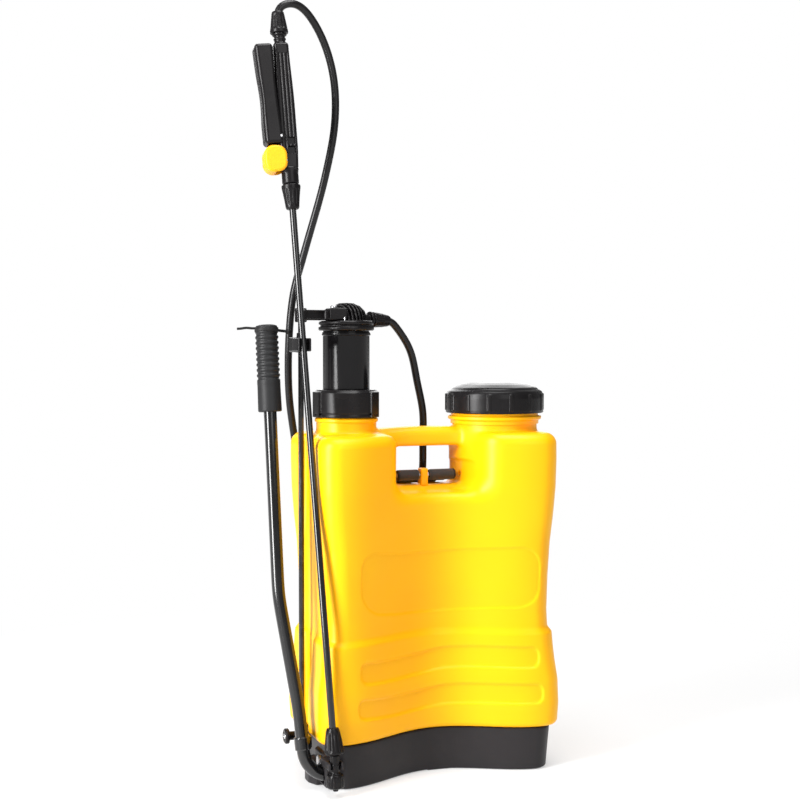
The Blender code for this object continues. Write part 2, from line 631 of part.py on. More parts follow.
# ---------------------------------------------------------------- filler side
LID_LOW = 0.5155
LID_INNER_R = 0.0664
LID_CEILING = 0.5482


def build_filler_lid():
    profile = [
        (LID_INNER_R, LID_LOW), (0.0722, LID_LOW), (0.0738, LID_LOW + 0.0020),
        (0.0730, 0.5420), (0.0706, 0.5480), (0.0650, 0.5502), (0.0634, 0.5524),
        (0.0560, 0.5560), (0.0350, 0.5602), (0, 0.5618), (0, LID_CEILING),
        (LID_INNER_R, LID_CEILING),
    ]
    lid = turned("filler_lid", profile, FILLER, BLACK, 30)
    for k in range(12):
        angle = math.radians(30 * k + 9)
        groove = block(f"cut_lid_groove_{k}", (0.0040, 0.0050, 0.0240),
                       around(FILLER, 0.0745, angle, 0.5290))
        groove.rotation_euler = (0, 0, angle)
        cut(lid, groove)
    tube("lid_gasket", 0.0602, 0.0648, 0.5452, 0.5478, FILLER, RUBBER, 30)


def build_filler_strainer():
    profile = [(0.0586, 0.4450), (0.0586, 0.5444), (0.0570, 0.5444), (0.0570, 0.4466),
               (0, 0.4466), (0, 0.4450)]
    turned("filler_strainer", profile, FILLER, WHITE, 28)


# ---------------------------------------------------------------- lance and nozzle
NOZZLE = LANCE_LOW - LANCE_DIR * 0.0372
NOZZLE_DIR = Vector((LANCE_DIR.x * 0.4, LANCE_DIR.y * 0.4, 1)).normalized()


def build_lance():
    points = [LANCE_LOW - LANCE_DIR * 0.028, LANCE_LOW.lerp(LANCE_TOP, 0.5),
              LANCE_TOP + LANCE_DIR * 0.020]
    swept("lance_tube", points, LANCE_R, PAINT, 3, wall=0.0012)
    nut = [(LANCE_BORE, -0.0010), (0.0088, -0.0010), (0.0095, 0.0010), (0.0132, 0.0290),
           (0.0132, 0.0330), (LANCE_BORE, 0.0330)]
    turned("lance_nut", nut, LANCE_TOP, BLACK, 20, LANCE_DIR)


def build_nozzle():
    nut = [(LANCE_BORE, -0.0360), (0.0125, -0.0360), (0.0132, -0.0330), (0.0118, -0.0180),
           (0.0086, -0.0020), (0.0075, 0.0), (LANCE_BORE, 0.0)]
    turned("nozzle_nut", nut, LANCE_LOW, BLACK, 20, LANCE_DIR)
    body = [(0.0020, -0.0330), (0.0085, -0.0330), (0.0085, -0.0250), (0.0060, -0.0230),
            (0.0066, -0.0060), (0.0072, 0.0), (0.0020, 0.0)]
    turned("nozzle_body", body, NOZZLE, BLACK, 18, NOZZLE_DIR)
    cap = [(0.0012, -0.0495), (0.0035, -0.0495), (0.0035, -0.0460), (0.0110, -0.0450),
           (0.0126, -0.0430), (0.0126, -0.0300), (0.0112, -0.0262), (0.0089, -0.0262),
           (0.0089, -0.0350), (0.0012, -0.0350)]
    turned("nozzle_cap", cap, NOZZLE, BLACK, 20, NOZZLE_DIR)


# ---------------------------------------------------------------- valve handle
# The handle's own axes: up along the lance, out towards the squeeze lever, and across.
OUT_AIM = Vector((-1.0, 0.10, 0.0))
HANDLE_OUT = (OUT_AIM - LANCE_DIR * OUT_AIM.dot(LANCE_DIR)).normalized()
HANDLE_ACROSS = LANCE_DIR.cross(HANDLE_OUT)
HANDLE_TURN = Matrix((HANDLE_OUT, HANDLE_ACROSS, LANCE_DIR)).transposed().to_4x4()


def in_handle(height, out, across=0.0):
    """A point at a height above the upper end of the lance, in the handle's axes."""
    return LANCE_TOP + LANCE_DIR * height + HANDLE_OUT * out + HANDLE_ACROSS * across


HINGE = in_handle(0.1000, 0.0105)       # squeeze lever hinge
LATCH_HINGE = in_handle(0.0660, 0.0060)
TRIGGER_TILT = math.radians(2.4)
BODY_GAP_WIDTH = 0.0236                 # room across, inside the pieces that straddle the body
VALVE_HEIGHT = 0.1220
SPRING_R = 0.0036
SPRING_TURNS = 4
SPRING_STEPS = 32


def handle_block(name, size, height, out, material=None, bevel=0.0, segments=1, tilt=0.0):
    """A block whose size is given out, across and up in the handle's axes."""
    obj = block(name, size, ORIGIN, material, bevel, segments)
    obj.matrix_world = (Matrix.Translation(in_handle(height, out)) @ HANDLE_TURN
                        @ Matrix.Rotation(tilt, 4, "Y"))
    return obj


def pin_hole(name, at):
    """Cutter for a pin across the handle."""
    return cylinder(name, 0.0022, -0.02, 0.02, at, None, 12, HANDLE_ACROSS)


def build_handle_body():
    body = handle_block("handle_body", (0.0265, 0.0220, 0.1850), 0.1415, 0.0, BLACK, 0.0050, 2)
    front = [(0, 0.0340), (0.0108, 0.0340), (0.0118, 0.0360), (0.0118, 0.0560), (0, 0.0560)]
    neck = [(0, 0.2280), (0.0080, 0.2280), (0.0080, 0.2440), (0.0100, 0.2440),
            (0.0100, 0.2470), (0, 0.2470)]
    join(body,
         turned("cut_body_front", front, LANCE_TOP, BLACK, 20, LANCE_DIR),
         turned("cut_body_neck", neck, LANCE_TOP, BLACK, 16, LANCE_DIR),
         cylinder("cut_hinge_boss", 0.0052, -0.0110, 0.0110, HINGE, BLACK, 16, HANDLE_ACROSS))
    stem_bore = [(0, -0.0083), (0.0045, -0.0080), (0.0045, 0.0300), (0, 0.0300)]
    cut(body,
        cylinder("cut_body_bore", 0.0030, 0.0200, 0.2600, LANCE_TOP, None, 12, LANCE_DIR),
        turned("cut_stem_bore", stem_bore, in_handle(VALVE_HEIGHT, 0.0), None, 14, HANDLE_OUT),
        pin_hole("cut_hinge_bore", HINGE),
        pin_hole("cut_latch_bore", LATCH_HINGE))


def build_squeeze_lever():
    """A channel that straddles the body, hinged at its lower end, free end near the hose."""
    lever = handle_block("squeeze_lever", (0.0260, 0.0300, 0.1400), 0.1610, 0.0228,
                         BLACK, 0.0060, 2, TRIGGER_TILT)
    cut(lever,
        handle_block("cut_trig_room", (0.0260, BODY_GAP_WIDTH, 0.1600), 0.1610, 0.0188,
                     tilt=TRIGGER_TILT),
        pin_hole("cut_trig_bore", HINGE))
    cylinder("trigger_pin", 0.0019, -0.0146, 0.0146, HINGE, STEEL, 12, HANDLE_ACROSS)


def build_valve():
    stem = [(0, -0.0050), (0.0024, -0.0050), (0.0024, 0.0278), (0.0046, 0.0278),
            (0.0046, 0.0292), (0, 0.0292)]
    turned("valve_stem", stem, in_handle(VALVE_HEIGHT, 0.0), BRASS, 12, HANDLE_OUT)
    coil = []
    for k in range(SPRING_STEPS + 1):
        angle = 2 * math.pi * SPRING_TURNS * k / SPRING_STEPS
        coil.append(in_handle(VALVE_HEIGHT + SPRING_R * math.cos(angle),
                              0.0010 + 0.0232 * k / SPRING_STEPS,
                              SPRING_R * math.sin(angle)))
    swept("valve_spring", coil, 0.0005, STEEL, 1)


def build_thumb_latch():
    """Latch below the squeeze lever, straddling the body."""
    latch = handle_block("thumb_latch", (0.0325, 0.0290, 0.0385), 0.0688, 0.01975,
                         TRIM, 0.0100, 3)
    cut(latch,
        handle_block("cut_latch_room", (0.0400, BODY_GAP_WIDTH, 0.0500), 0.0688, 0.0),
        pin_hole("cut_latch_eye", LATCH_HINGE))
    cylinder("latch_pin", 0.0019, -0.0140, 0.0140, LATCH_HINGE, STEEL, 12, HANDLE_ACROSS)


def build_hose_nut():
    profile = [(HOSE_BORE, 0.2475), (0.0122, 0.2475), (0.0128, 0.2500), (0.0110, 0.2640),
               (0.0084, 0.2790), (HOSE_BORE, 0.2790)]
    turned("hose_nut", profile, LANCE_TOP, BLACK, 20, LANCE_DIR)


# ---------------------------------------------------------------- hose, in three lengths
HOSE_TOP = LANCE_TOP + LANCE_DIR * 0.2500
OUTLET_END = OUTLET + OUTLET_DIR * 0.0460
UPPER_JOINT = Vector((-0.1630, 0.0520, 0.7500))
LOWER_JOINT = Vector((0.0160, 0.0620, 0.4730))
# short leads that set the direction of a length at a joint, and the small gap there
LEAD_Z, LEAD_Y = Vector((0, 0, 0.0030)), Vector((0, 0.0030, 0))
JOINT_GAP_Z, JOINT_GAP_Y = Vector((0, 0, 0.0004)), Vector((0, 0.0004, 0))


def hose(name, points):
    swept(name, flowing(points), HOSE_R, RUBBER, 1, wall=0.0018)


def build_hoses():
    hose("hose_lance_side", [
        HOSE_TOP, HOSE_TOP + LANCE_DIR * 0.018, HOSE_TOP + LANCE_DIR * 0.034,
        (-0.2010, 0.0000, 1.0950), (-0.1790, 0.0080, 1.0930), (-0.1500, 0.0150, 1.0600),
        (-0.1290, 0.0200, 1.0050), (-0.1240, 0.0260, 0.9400), (-0.1360, 0.0350, 0.8600),
        UPPER_JOINT + LEAD_Z, UPPER_JOINT + JOINT_GAP_Z,
    ])
    hose("hose_tank_side", [
        UPPER_JOINT, UPPER_JOINT - LEAD_Z,
        (-0.1760, 0.0650, 0.6900), (-0.1800, 0.0760, 0.6200), (-0.1770, 0.0900, 0.5400),
        (-0.1730, 0.1010, 0.4600), (-0.1660, 0.1060, 0.3800), (-0.1540, 0.1080, 0.2800),
        (-0.1200, 0.1080, 0.2000), (-0.0650, 0.1080, 0.1700), (-0.0200, 0.1080, 0.2200),
        (-0.0030, 0.1080, 0.3200), (-0.0010, 0.1050, 0.3900), (-0.0010, 0.1000, 0.4350),
        (0.0060, 0.0850, 0.4640), LOWER_JOINT + LEAD_Y, LOWER_JOINT + JOINT_GAP_Y,
    ])
    hose("hose_pump_side", [
        OUTLET_END, OUTLET_END + OUTLET_DIR * 0.016, OUTLET_END + OUTLET_DIR * 0.030,
        (-0.0300, 0.0230, 0.6400), (-0.0060, 0.0330, 0.6080), (0.0080, 0.0400, 0.5600),
        (0.0170, 0.0420, 0.5150), (0.0180, 0.0480, 0.4850),
        LOWER_JOINT - LEAD_Y, LOWER_JOINT,
    ])


# ---------------------------------------------------------------- harness
BUCKLE_X = 0.1250                       # either side of the middle plane
BAND_HALF_WIDTH, PAD_HALF_WIDTH = 0.0150, 0.0260
PAD_MIN_THICK = 0.004                   # stations at least this thick belong to the pad
# distance outwards from the strap's upper end, y, z, thickness
STRAP_UPPER = [
    (0.000, -0.0020, 0.4178, 0.0028), (0.000, 0.0250, 0.4165, 0.0028),
    (0.000, 0.0480, 0.4062, 0.0028), (0.002, 0.0980, 0.4085, 0.0030),
    (0.014, 0.1270, 0.3840, 0.0080), (0.026, 0.1330, 0.3300, 0.0120),
    (0.040, 0.1330, 0.2600, 0.0120), (0.054, 0.1330, 0.2000, 0.0080),
    (0.068, 0.1300, 0.1600, 0.0028),
]
# distance outwards from the middle plane, y, z, thickness
STRAP_LOWER = [(0.1300, 0.1200, 0.1060, 0.0028), (BUCKLE_X, 0.1000, 0.0620, 0.0028)]
# name, side, x of the strap's upper end, x of the loop, half length of the loop
HARNESS_SIDES = [
    ("left", -1, -0.0225, -0.0250, 0.0150),
    ("right", 1, 0.0205, 0.0262, 0.0194),
]


def shoulder_strap(name, side, upper_x):
    """A flat band down the wearer's side, wider and thicker over the shoulder pad."""
    stations = [(upper_x + side * out, y, z, thick) for out, y, z, thick in STRAP_UPPER]
    stations += [(side * out, y, z, thick) for out, y, z, thick in STRAP_LOWER]
    points = [Vector(station[:3]) for station in stations]
    bm = bmesh.new()
    rings = []
    for i, point in enumerate(points):
        ahead = (points[min(i + 1, len(points) - 1)] - points[max(i - 1, 0)]).normalized()
        across = (Vector(ALONG_X) - ahead * ahead.x).normalized()
        normal = across.cross(ahead).normalized()
        thick = stations[i][3]
        half_width = BAND_HALF_WIDTH if thick < PAD_MIN_THICK else PAD_HALF_WIDTH
        rings.append([bm.verts.new(point + across * half_width * u + normal * thick / 2 * v)
                      for u, v in ((-1, -1), (1, -1), (1, 1), (-1, 1))])
    skin(bm, rings)
    add_solid(name, bm, WEBBING)


def strap_loop(name, x, half):
    """Ring on the strap bar, chamfered at both ends."""
    inner, outer, chamfer = 0.0043, 0.0078, 0.0012
    profile = [(inner, -half), (outer - chamfer, -half), (outer, -half + chamfer),
               (outer, half - chamfer), (outer - chamfer, half), (inner, half)]
    turned(name, profile, (x, STRAP_BAR[1], STRAP_BAR[2]), WEBBING, 16, ALONG_X)


def build_harness():
    cylinder("strap_bar", 0.0040, -0.0405, 0.0495, STRAP_BAR, STEEL, 12, ALONG_X)
    for place, side, upper_x, loop_x, loop_half in HARNESS_SIDES:
        shoulder_strap("shoulder_strap_" + place, side, upper_x)
        strap_loop("strap_loop_" + place, loop_x, loop_half)
        block("strap_buckle_" + place, (0.0360, 0.0080, 0.0240),
              (side * BUCKLE_X, 0.0918, 0.0440), GLOSS, 0.0020)


# ---------------------------------------------------------------- build
for build in (
    build_tank, build_base, build_pivot_screw, build_feet, build_strap_studs,
    build_collar_nut, build_pump_cylinder, build_intake,
    build_air_chamber, build_piston, build_chamber_head, build_outlet_nut,
    build_cross_arm, build_connecting_rod, build_lance_holder,
    build_lever_tube, build_lever_grip, build_crank, build_shaft_fittings, build_stow_strap,
    build_filler_lid, build_filler_strainer,
    build_lance, build_nozzle,
    build_handle_body, build_squeeze_lever, build_valve, build_thumb_latch, build_hose_nut,
    build_hoses, build_harness,
):
    build()
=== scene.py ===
"""Knapsack sprayer: a yellow tank on a black base, with a hand pump, lance, hoses and straps.

Metres, +Z up, standing on z = 0. The front faces -Y and the shoulder straps hang behind, at +Y.
The pump, its lever and the lance are on the -X side ("left"), the filler lid on the +X side.
"""
import math

import bmesh
import bpy
import numpy as np
from mathutils import Matrix, Vector


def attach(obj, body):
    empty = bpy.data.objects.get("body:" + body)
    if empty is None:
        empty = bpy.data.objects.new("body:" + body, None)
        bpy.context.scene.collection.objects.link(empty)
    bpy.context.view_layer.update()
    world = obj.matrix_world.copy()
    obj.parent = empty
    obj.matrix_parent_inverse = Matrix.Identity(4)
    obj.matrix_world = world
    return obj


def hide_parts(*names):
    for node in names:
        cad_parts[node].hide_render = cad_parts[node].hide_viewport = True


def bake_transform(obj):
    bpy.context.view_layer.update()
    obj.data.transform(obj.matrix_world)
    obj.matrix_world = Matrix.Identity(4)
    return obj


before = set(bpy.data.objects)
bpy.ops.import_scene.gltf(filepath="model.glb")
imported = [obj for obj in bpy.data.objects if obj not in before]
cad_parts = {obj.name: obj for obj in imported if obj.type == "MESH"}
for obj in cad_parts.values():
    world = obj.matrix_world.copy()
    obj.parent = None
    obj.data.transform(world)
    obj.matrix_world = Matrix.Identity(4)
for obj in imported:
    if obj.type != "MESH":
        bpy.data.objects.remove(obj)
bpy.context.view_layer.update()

scene = bpy.context.scene
SIDES = (("left", -1), ("right", 1))

# ------------------------------------------------------------------ shared places
PUMP = np.array((-0.116, 0.0))      # upright axes of the two necks, x and y
FILL = np.array((0.116, 0.0))
BODY_TOP = 0.489
PIVOT_Y, PIVOT_Z = -0.074, 0.0185   # the lever turns about a line along x
CRANK_LENGTH, CRANK_ANGLE = 0.082, math.radians(34)
PIN = Vector((-0.1898, PIVOT_Y + CRANK_LENGTH * math.cos(CRANK_ANGLE),
              PIVOT_Z + CRANK_LENGTH * math.sin(CRANK_ANGLE)))
ROD = (-0.183, 0.002)               # upright axis of the connecting rod
LANCE_A = Vector((-0.1725, -0.112, 0.095))
LANCE_B = Vector((-0.2035, -0.03, 0.805))
LANCE_DIR = (LANCE_B - LANCE_A).normalized()
OUTLET = Vector((-0.116, 0.0, 0.6545))
OUTLET_DIR = Vector((math.cos(math.radians(14)), math.sin(math.radians(14)), -0.05)).normalized()
BAR_AT = (-0.002, -0.01, 0.4265)    # steel bar that the straps hang from, lying along x


# ------------------------------------------------------------------ materials
class Tree:
    """A material's node tree. Every input takes either a value or another node's socket."""

    def __init__(self, name):
        self.mat = bpy.data.materials.new(name)
        self.mat.use_nodes = True
        self.tree = self.mat.node_tree
        self.shader = self.tree.nodes["Principled BSDF"]

    def put(self, node, key, value):
        socket = node.inputs[key]
        if isinstance(value, bpy.types.NodeSocket):
            self.tree.links.new(value, socket)
        else:
            socket.default_value = (*value, 1.0) if socket.type == "RGBA" else value

    def surface(self, **inputs):
        """Set inputs of the main shader; underscores stand for spaces."""
        for key, value in inputs.items():
            self.put(self.shader, key.replace("_", " "), value)

    def node(self, kind, numbered=(), **named):
        made = self.tree.nodes.new(kind)
        for key, value in (*enumerate(numbered), *named.items()):
            self.put(made, key, value)
        return made

    def coords(self, scale=(1, 1, 1), turn=(0, 0, 0)):
        source = self.node("ShaderNodeTexCoord").outputs["Object"]
        made = self.node("ShaderNodeMapping", Vector=source, Scale=scale, Rotation=turn)
        return made.outputs["Vector"]

    def noise(self, place, scale, detail=3.0, rough=0.55):
        return self.node("ShaderNodeTexNoise", Vector=place, Scale=scale, Detail=detail,
                         Roughness=rough).outputs["Fac"]

    def ramp(self, value, low, high, low_to=0.0, high_to=1.0):
        return self.node("ShaderNodeMapRange", (value, low, high, low_to, high_to)).outputs[0]

    def mix(self, share, first, second):
        made = self.node("ShaderNodeMix")
        made.data_type = "RGBA"
        for key, value in ((0, share), (6, first), (7, second)):    # factor and the two colours
            self.put(made, key, value)
        return made.outputs[2]

    def math(self, operation, first, second=0.0):
        made = self.node("ShaderNodeMath", (first, second, 0.0))
        made.operation = operation
        return made.outputs[0]

    def times(self, first, second):
        return self.math("MULTIPLY", first, second)

    def plus(self, first, second):
        return self.math("ADD", first, second)

    def bump(self, height, strength, distance, normal=None):
        made = self.node("ShaderNodeBump", Strength=strength, Distance=distance, Height=height)
        if normal is not None:
            self.put(made, "Normal", normal)
        return made.outputs["Normal"]


def lighter(tint, gain, lift):
    return tuple(min(1.0, part * gain + lift) for part in tint)


def plastic(name, tints, rough, spread=0.05, grain=(1400, 0.12), peel=(120, 0.05), wear=0.35,
            worn=None, coat=0.0, sss=0.0, metal=0.0, scuff=0.10, dust=0.0, ior=1.48, spec=0.22):
    """Moulded plastic, paint, rubber or metal, drifting between two tints.

    rough +- spread is the gloss; grain and peel are (scale, strength) of fine and coarse bumps;
    wear and worn give the share and colour of rubbed edges.
    """
    t = Tree(name)
    place = t.coords()
    drift = t.ramp(t.noise(place, scale=6.0, detail=2.0), low=0.35, high=0.65)
    fleck = t.ramp(t.noise(place, scale=55.0, detail=5.0), low=0.40, high=0.70)
    colour = t.mix(drift, *tints)
    edge = t.ramp(t.node("ShaderNodeNewGeometry").outputs["Pointiness"], low=0.515, high=0.60)
    edge = t.times(edge, t.times(fleck, wear))
    colour = t.mix(edge, colour, worn or lighter(tints[0], gain=1.8, lift=0.012))
    streaks = t.coords(scale=(40, 40, 900), turn=(0.5, 0.3, 0.2))
    scratch = t.ramp(t.noise(streaks, scale=1.0, detail=4.0, rough=0.6), low=0.62, high=0.72)
    patches = t.ramp(t.noise(place, scale=16.0, detail=2.0), low=0.50, high=0.66)
    scratch = t.times(scratch, patches)
    if dust:
        cover = t.ramp(t.noise(place, scale=28.0, detail=6.0, rough=0.7), low=0.50, high=0.80)
        colour = t.mix(t.times(cover, dust), colour, lighter(tints[0], gain=1.0, lift=0.045))
    gloss = t.ramp(t.noise(place, scale=22.0, detail=4.0), low=0.30, high=0.70,
                   low_to=rough - spread, high_to=rough + spread)
    gloss = t.plus(gloss, t.times(scratch, scuff))
    gloss = t.plus(gloss, t.times(edge, 0.2))     # worn edges are duller
    normal = t.bump(t.noise(place, peel[0], detail=2.0), peel[1], distance=0.0006)
    normal = t.bump(t.noise(place, grain[0], detail=2.0), grain[1], 0.00012, normal)
    sunk = t.math("SUBTRACT", 0.0, scratch)
    normal = t.bump(sunk, strength=0.15, distance=0.0002, normal=normal)
    t.surface(Base_Color=colour, Roughness=gloss, Normal=normal, Metallic=metal, IOR=ior)
    if not metal:
        t.surface(Specular_IOR_Level=spec)
    if coat:
        t.surface(Coat_Weight=coat, Coat_Roughness=0.08)
    if sss:
        t.surface(Subsurface_Weight=sss, Subsurface_Radius=(0.012, 0.006, 0.001),
                  Subsurface_Scale=1.0)
    t.mat.diffuse_color = (*tints[0], 1.0)
    return t.mat


def woven(name, tints, pitch=0.0016, depth=0.00035, uv=True):
    """Webbing or cloth: two thread directions that pass over and under, with painted shade in the
    hollows.
    """
    t = Tree(name)
    if uv:
        source = t.node("ShaderNodeUVMap").outputs["UV"]
    else:
        place = t.node("ShaderNodeTexCoord").outputs["Object"]
        parts = t.node("ShaderNodeSeparateXYZ", Vector=place).outputs
        source = t.node("ShaderNodeCombineXYZ", X=parts[0], Y=parts[2], Z=0.0).outputs[0]
    parts = t.node("ShaderNodeSeparateXYZ", Vector=source).outputs
    rate = 2 * math.pi / pitch
    across = t.math("SINE", t.times(parts[0], rate))
    along = t.math("SINE", t.times(parts[1], rate * 0.7))
    weave = t.times(across, along)
    warp = t.math("ABSOLUTE", across)
    height = t.plus(t.times(weave, 0.6), t.times(warp, 0.5))
    lift = t.ramp(height, low=-0.6, high=1.0)
    place = t.coords()
    fade = t.ramp(t.noise(place, scale=40.0, detail=5.0, rough=0.65), low=0.35, high=0.75)
    # colour follows the weave's height: hollows between threads get the darker first tint as
    # painted shade, crests the lighter one
    colour = t.mix(lift, *tints)
    colour = t.mix(t.times(fade, 0.35), colour, lighter(tints[1], gain=1.9, lift=0.01))
    fuzz = t.noise(place, scale=2600.0, detail=2.0)
    normal = t.bump(height, strength=0.7, distance=depth)
    normal = t.bump(fuzz, strength=0.35, distance=0.0002, normal=normal)
    gloss = t.ramp(fade, low=0.0, high=1.0, low_to=0.72, high_to=0.92)
    t.surface(Base_Color=colour, Roughness=gloss, Normal=normal, Sheen_Weight=0.25,
              Sheen_Roughness=0.45)
    t.mat.diffuse_color = (*tints[0], 1.0)
    return t.mat


TANK_MAT = plastic("Tank_Polyethylene", ((1.0, 0.455, 0.001), (1.0, 0.49, 0.0012)), rough=0.36,
                   grain=(900, 0.10), peel=(70, 0.06), wear=0.18, worn=(1.0, 0.64, 0.04),
                   sss=0.06, scuff=0.12, ior=1.50)
NECK_MAT = plastic("Neck_Polyethylene", ((1.0, 0.46, 0.0012), (1.0, 0.495, 0.0014)), rough=0.34,
                   grain=(900, 0.08), peel=(90, 0.05), wear=0.22, worn=(1.0, 0.64, 0.04),
                   sss=0.06, ior=1.50)
TRIM_MAT = plastic("Trim_Yellow", ((1.0, 0.4, 0.01), (1.0, 0.44, 0.01)), rough=0.36,
                   grain=(1600, 0.10), peel=(200, 0.04), wear=0.30, worn=(1.0, 0.66, 0.10),
                   sss=0.08)
BASE_MAT = plastic("Base_Polypropylene", ((0.0165, 0.015, 0.0162), (0.021, 0.019, 0.0205)),
                   rough=0.38, spread=0.06, grain=(700, 0.35), peel=(60, 0.06), dust=0.10)
BLACK_MAT = plastic("Black_Moulding", ((0.0052, 0.0046, 0.005), (0.008, 0.0071, 0.0076)),
                    rough=0.28, spread=0.07, grain=(1500, 0.20), peel=(220, 0.05), wear=0.40,
                    dust=0.08)
GLOSS_MAT = plastic("Black_Gloss", ((0.0042, 0.0038, 0.0042), (0.0062, 0.0057, 0.0062)),
                    rough=0.20, spread=0.04, grain=(1800, 0.03), peel=(90, 0.05), wear=0.25,
                    coat=0.08, spec=0.20)
TUBE_MAT = plastic("Painted_Tube", ((0.0036, 0.0036, 0.004), (0.0055, 0.0055, 0.006)),
                   rough=0.15, grain=(1300, 0.03), peel=(260, 0.05), wear=0.50,
                   worn=(0.22, 0.22, 0.23), coat=0.5, scuff=0.22, spec=0.5)
RUBBER_MAT = plastic("Soft_Rubber", ((0.01, 0.0095, 0.01), (0.014, 0.0135, 0.014)), rough=0.50,
                     spread=0.07, grain=(1100, 0.40), peel=(180, 0.10), wear=0.30, dust=0.14)
GRIP_MAT = plastic("Grip_Rubber", ((0.0125, 0.0126, 0.0132), (0.0175, 0.0177, 0.0184)),
                   rough=0.44, spread=0.07, grain=(1300, 0.40), peel=(180, 0.10), dust=0.14)
HOSE_MAT = plastic("Hose_Vinyl", ((0.0056, 0.0052, 0.0056), (0.0082, 0.0077, 0.0082)),
                   rough=0.28, spread=0.06, grain=(1500, 0.12), peel=(160, 0.08), wear=0.20,
                   dust=0.06, spec=0.35)
STEEL_MAT = plastic("Plated_Steel", ((0.56, 0.56, 0.58), (0.66, 0.66, 0.67)), rough=0.26,
                    spread=0.07, grain=(1800, 0.15), peel=(300, 0.05), wear=0.30,
                    worn=(0.80, 0.80, 0.80), metal=1.0, scuff=0.25)
NATURAL_MAT = plastic("Natural_Plastic", ((0.74, 0.74, 0.70), (0.82, 0.82, 0.79)), rough=0.42,
                      spread=0.06, grain=(1200, 0.12), peel=(90, 0.06), wear=0.2,
                      worn=(0.9, 0.9, 0.88), sss=0.2)
BRASS_MAT = plastic("Brass", ((0.62, 0.44, 0.17), (0.72, 0.54, 0.24)), rough=0.28, spread=0.07,
                    grain=(1800, 0.12), peel=(300, 0.05), wear=0.3, worn=(0.85, 0.68, 0.35),
                    metal=1.0, scuff=0.2)
# the first tint of each weave is the painted shade laid into the hollows between its threads
WEB_MAT = woven("Webbing", ((0.007, 0.007, 0.0075), (0.024, 0.024, 0.026)))
PAD_MAT = woven("Pad_Cloth", ((0.009, 0.009, 0.01), (0.03, 0.03, 0.032)), pitch=0.0012,
                depth=0.0002, uv=False)
# a spare look that stays in the file: no piece wears it
woven("Binding_Tape", ((0.02, 0.02, 0.022), (0.055, 0.055, 0.058)), pitch=0.001, depth=0.0002)
THREAD_MAT = plastic("Stitch_Thread", ((0.10, 0.10, 0.105), (0.14, 0.14, 0.145)), rough=0.6,
                     spread=0.08, grain=(3000, 0.5), peel=(500, 0.2), wear=0.1)

# the frame's slot that each material usually fills
SLOT_OF = {mat.name: slot for slot, mats in (
    ("yellow_polyethylene", (TANK_MAT, NECK_MAT)),
    ("yellow_trim", (TRIM_MAT,)),
    ("black_plastic", (BASE_MAT, BLACK_MAT)),
    ("black_gloss", (GLOSS_MAT,)),
    ("painted_tube", (TUBE_MAT,)),
    ("rubber", (RUBBER_MAT, GRIP_MAT, HOSE_MAT)),
    ("steel", (STEEL_MAT,)),
    ("webbing", (WEB_MAT, PAD_MAT, THREAD_MAT)),
) for mat in mats}


# ------------------------------------------------------------------ mesh helpers
def finish(obj, mat, body, node, slot=None):
    """Dress a piece, fix it to a moving body and hide the CAD node it replaces."""
    obj.data.materials.clear()
    obj.data.materials.append(mat)
    if body:
        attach(obj, body)
    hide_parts(node)
    slot or SLOT_OF[mat.name]
    return obj


def smooth_object(name, mesh, angle):
    """Object with smooth shading, sharp only at edges steeper than the angle in degrees."""
    mesh.shade_smooth()
    if angle:
        mesh.set_sharp_from_angle(angle=math.radians(angle))
    obj = bpy.data.objects.new(name, mesh)
    scene.collection.objects.link(obj)
    return obj


def mesh_object(name, verts, faces, angle):
    mesh = bpy.data.meshes.new(name)
    mesh.from_pydata([tuple(vert) for vert in verts], [], [tuple(face) for face in faces])
    mesh.validate()
    mesh.update()
    return smooth_object(name, mesh, angle)


def face_outward(mesh):
    work = bmesh.new()
    work.from_mesh(mesh)
    bmesh.ops.recalc_face_normals(work, faces=work.faces)
    work.to_mesh(mesh)
    work.free()


def axes_for(axis):
    """Rotation whose z column is the axis."""
    along = Vector(axis).normalized()
    hint = Vector((1, 0, 0)) if abs(along.z) > 0.97 else Vector((0, 0, 1))
    across = hint.cross(along).normalized()
    return Matrix((across, along.cross(across), along)).transposed()


def round_corners(points, edge):
    """Replace each corner of a closed outline by a short curve, except on the axis."""
    out = []
    for i, point in enumerate(points):
        before = points[i - 1] - point
        after = points[(i + 1) % len(points)] - point
        room_before, room_after = np.linalg.norm(before), np.linalg.norm(after)
        cut_back = min(edge, 0.42 * room_before, 0.42 * room_after)
        if point[0] < 1e-6 or cut_back < 2e-5:
            out.append(point)
            continue
        start = point + before / room_before * cut_back
        end = point + after / room_after * cut_back
        for k in range(4):
            part = k / 3
            out.append((1 - part) ** 2 * start + 2 * part * (1 - part) * point
                       + part * part * end)
    return out


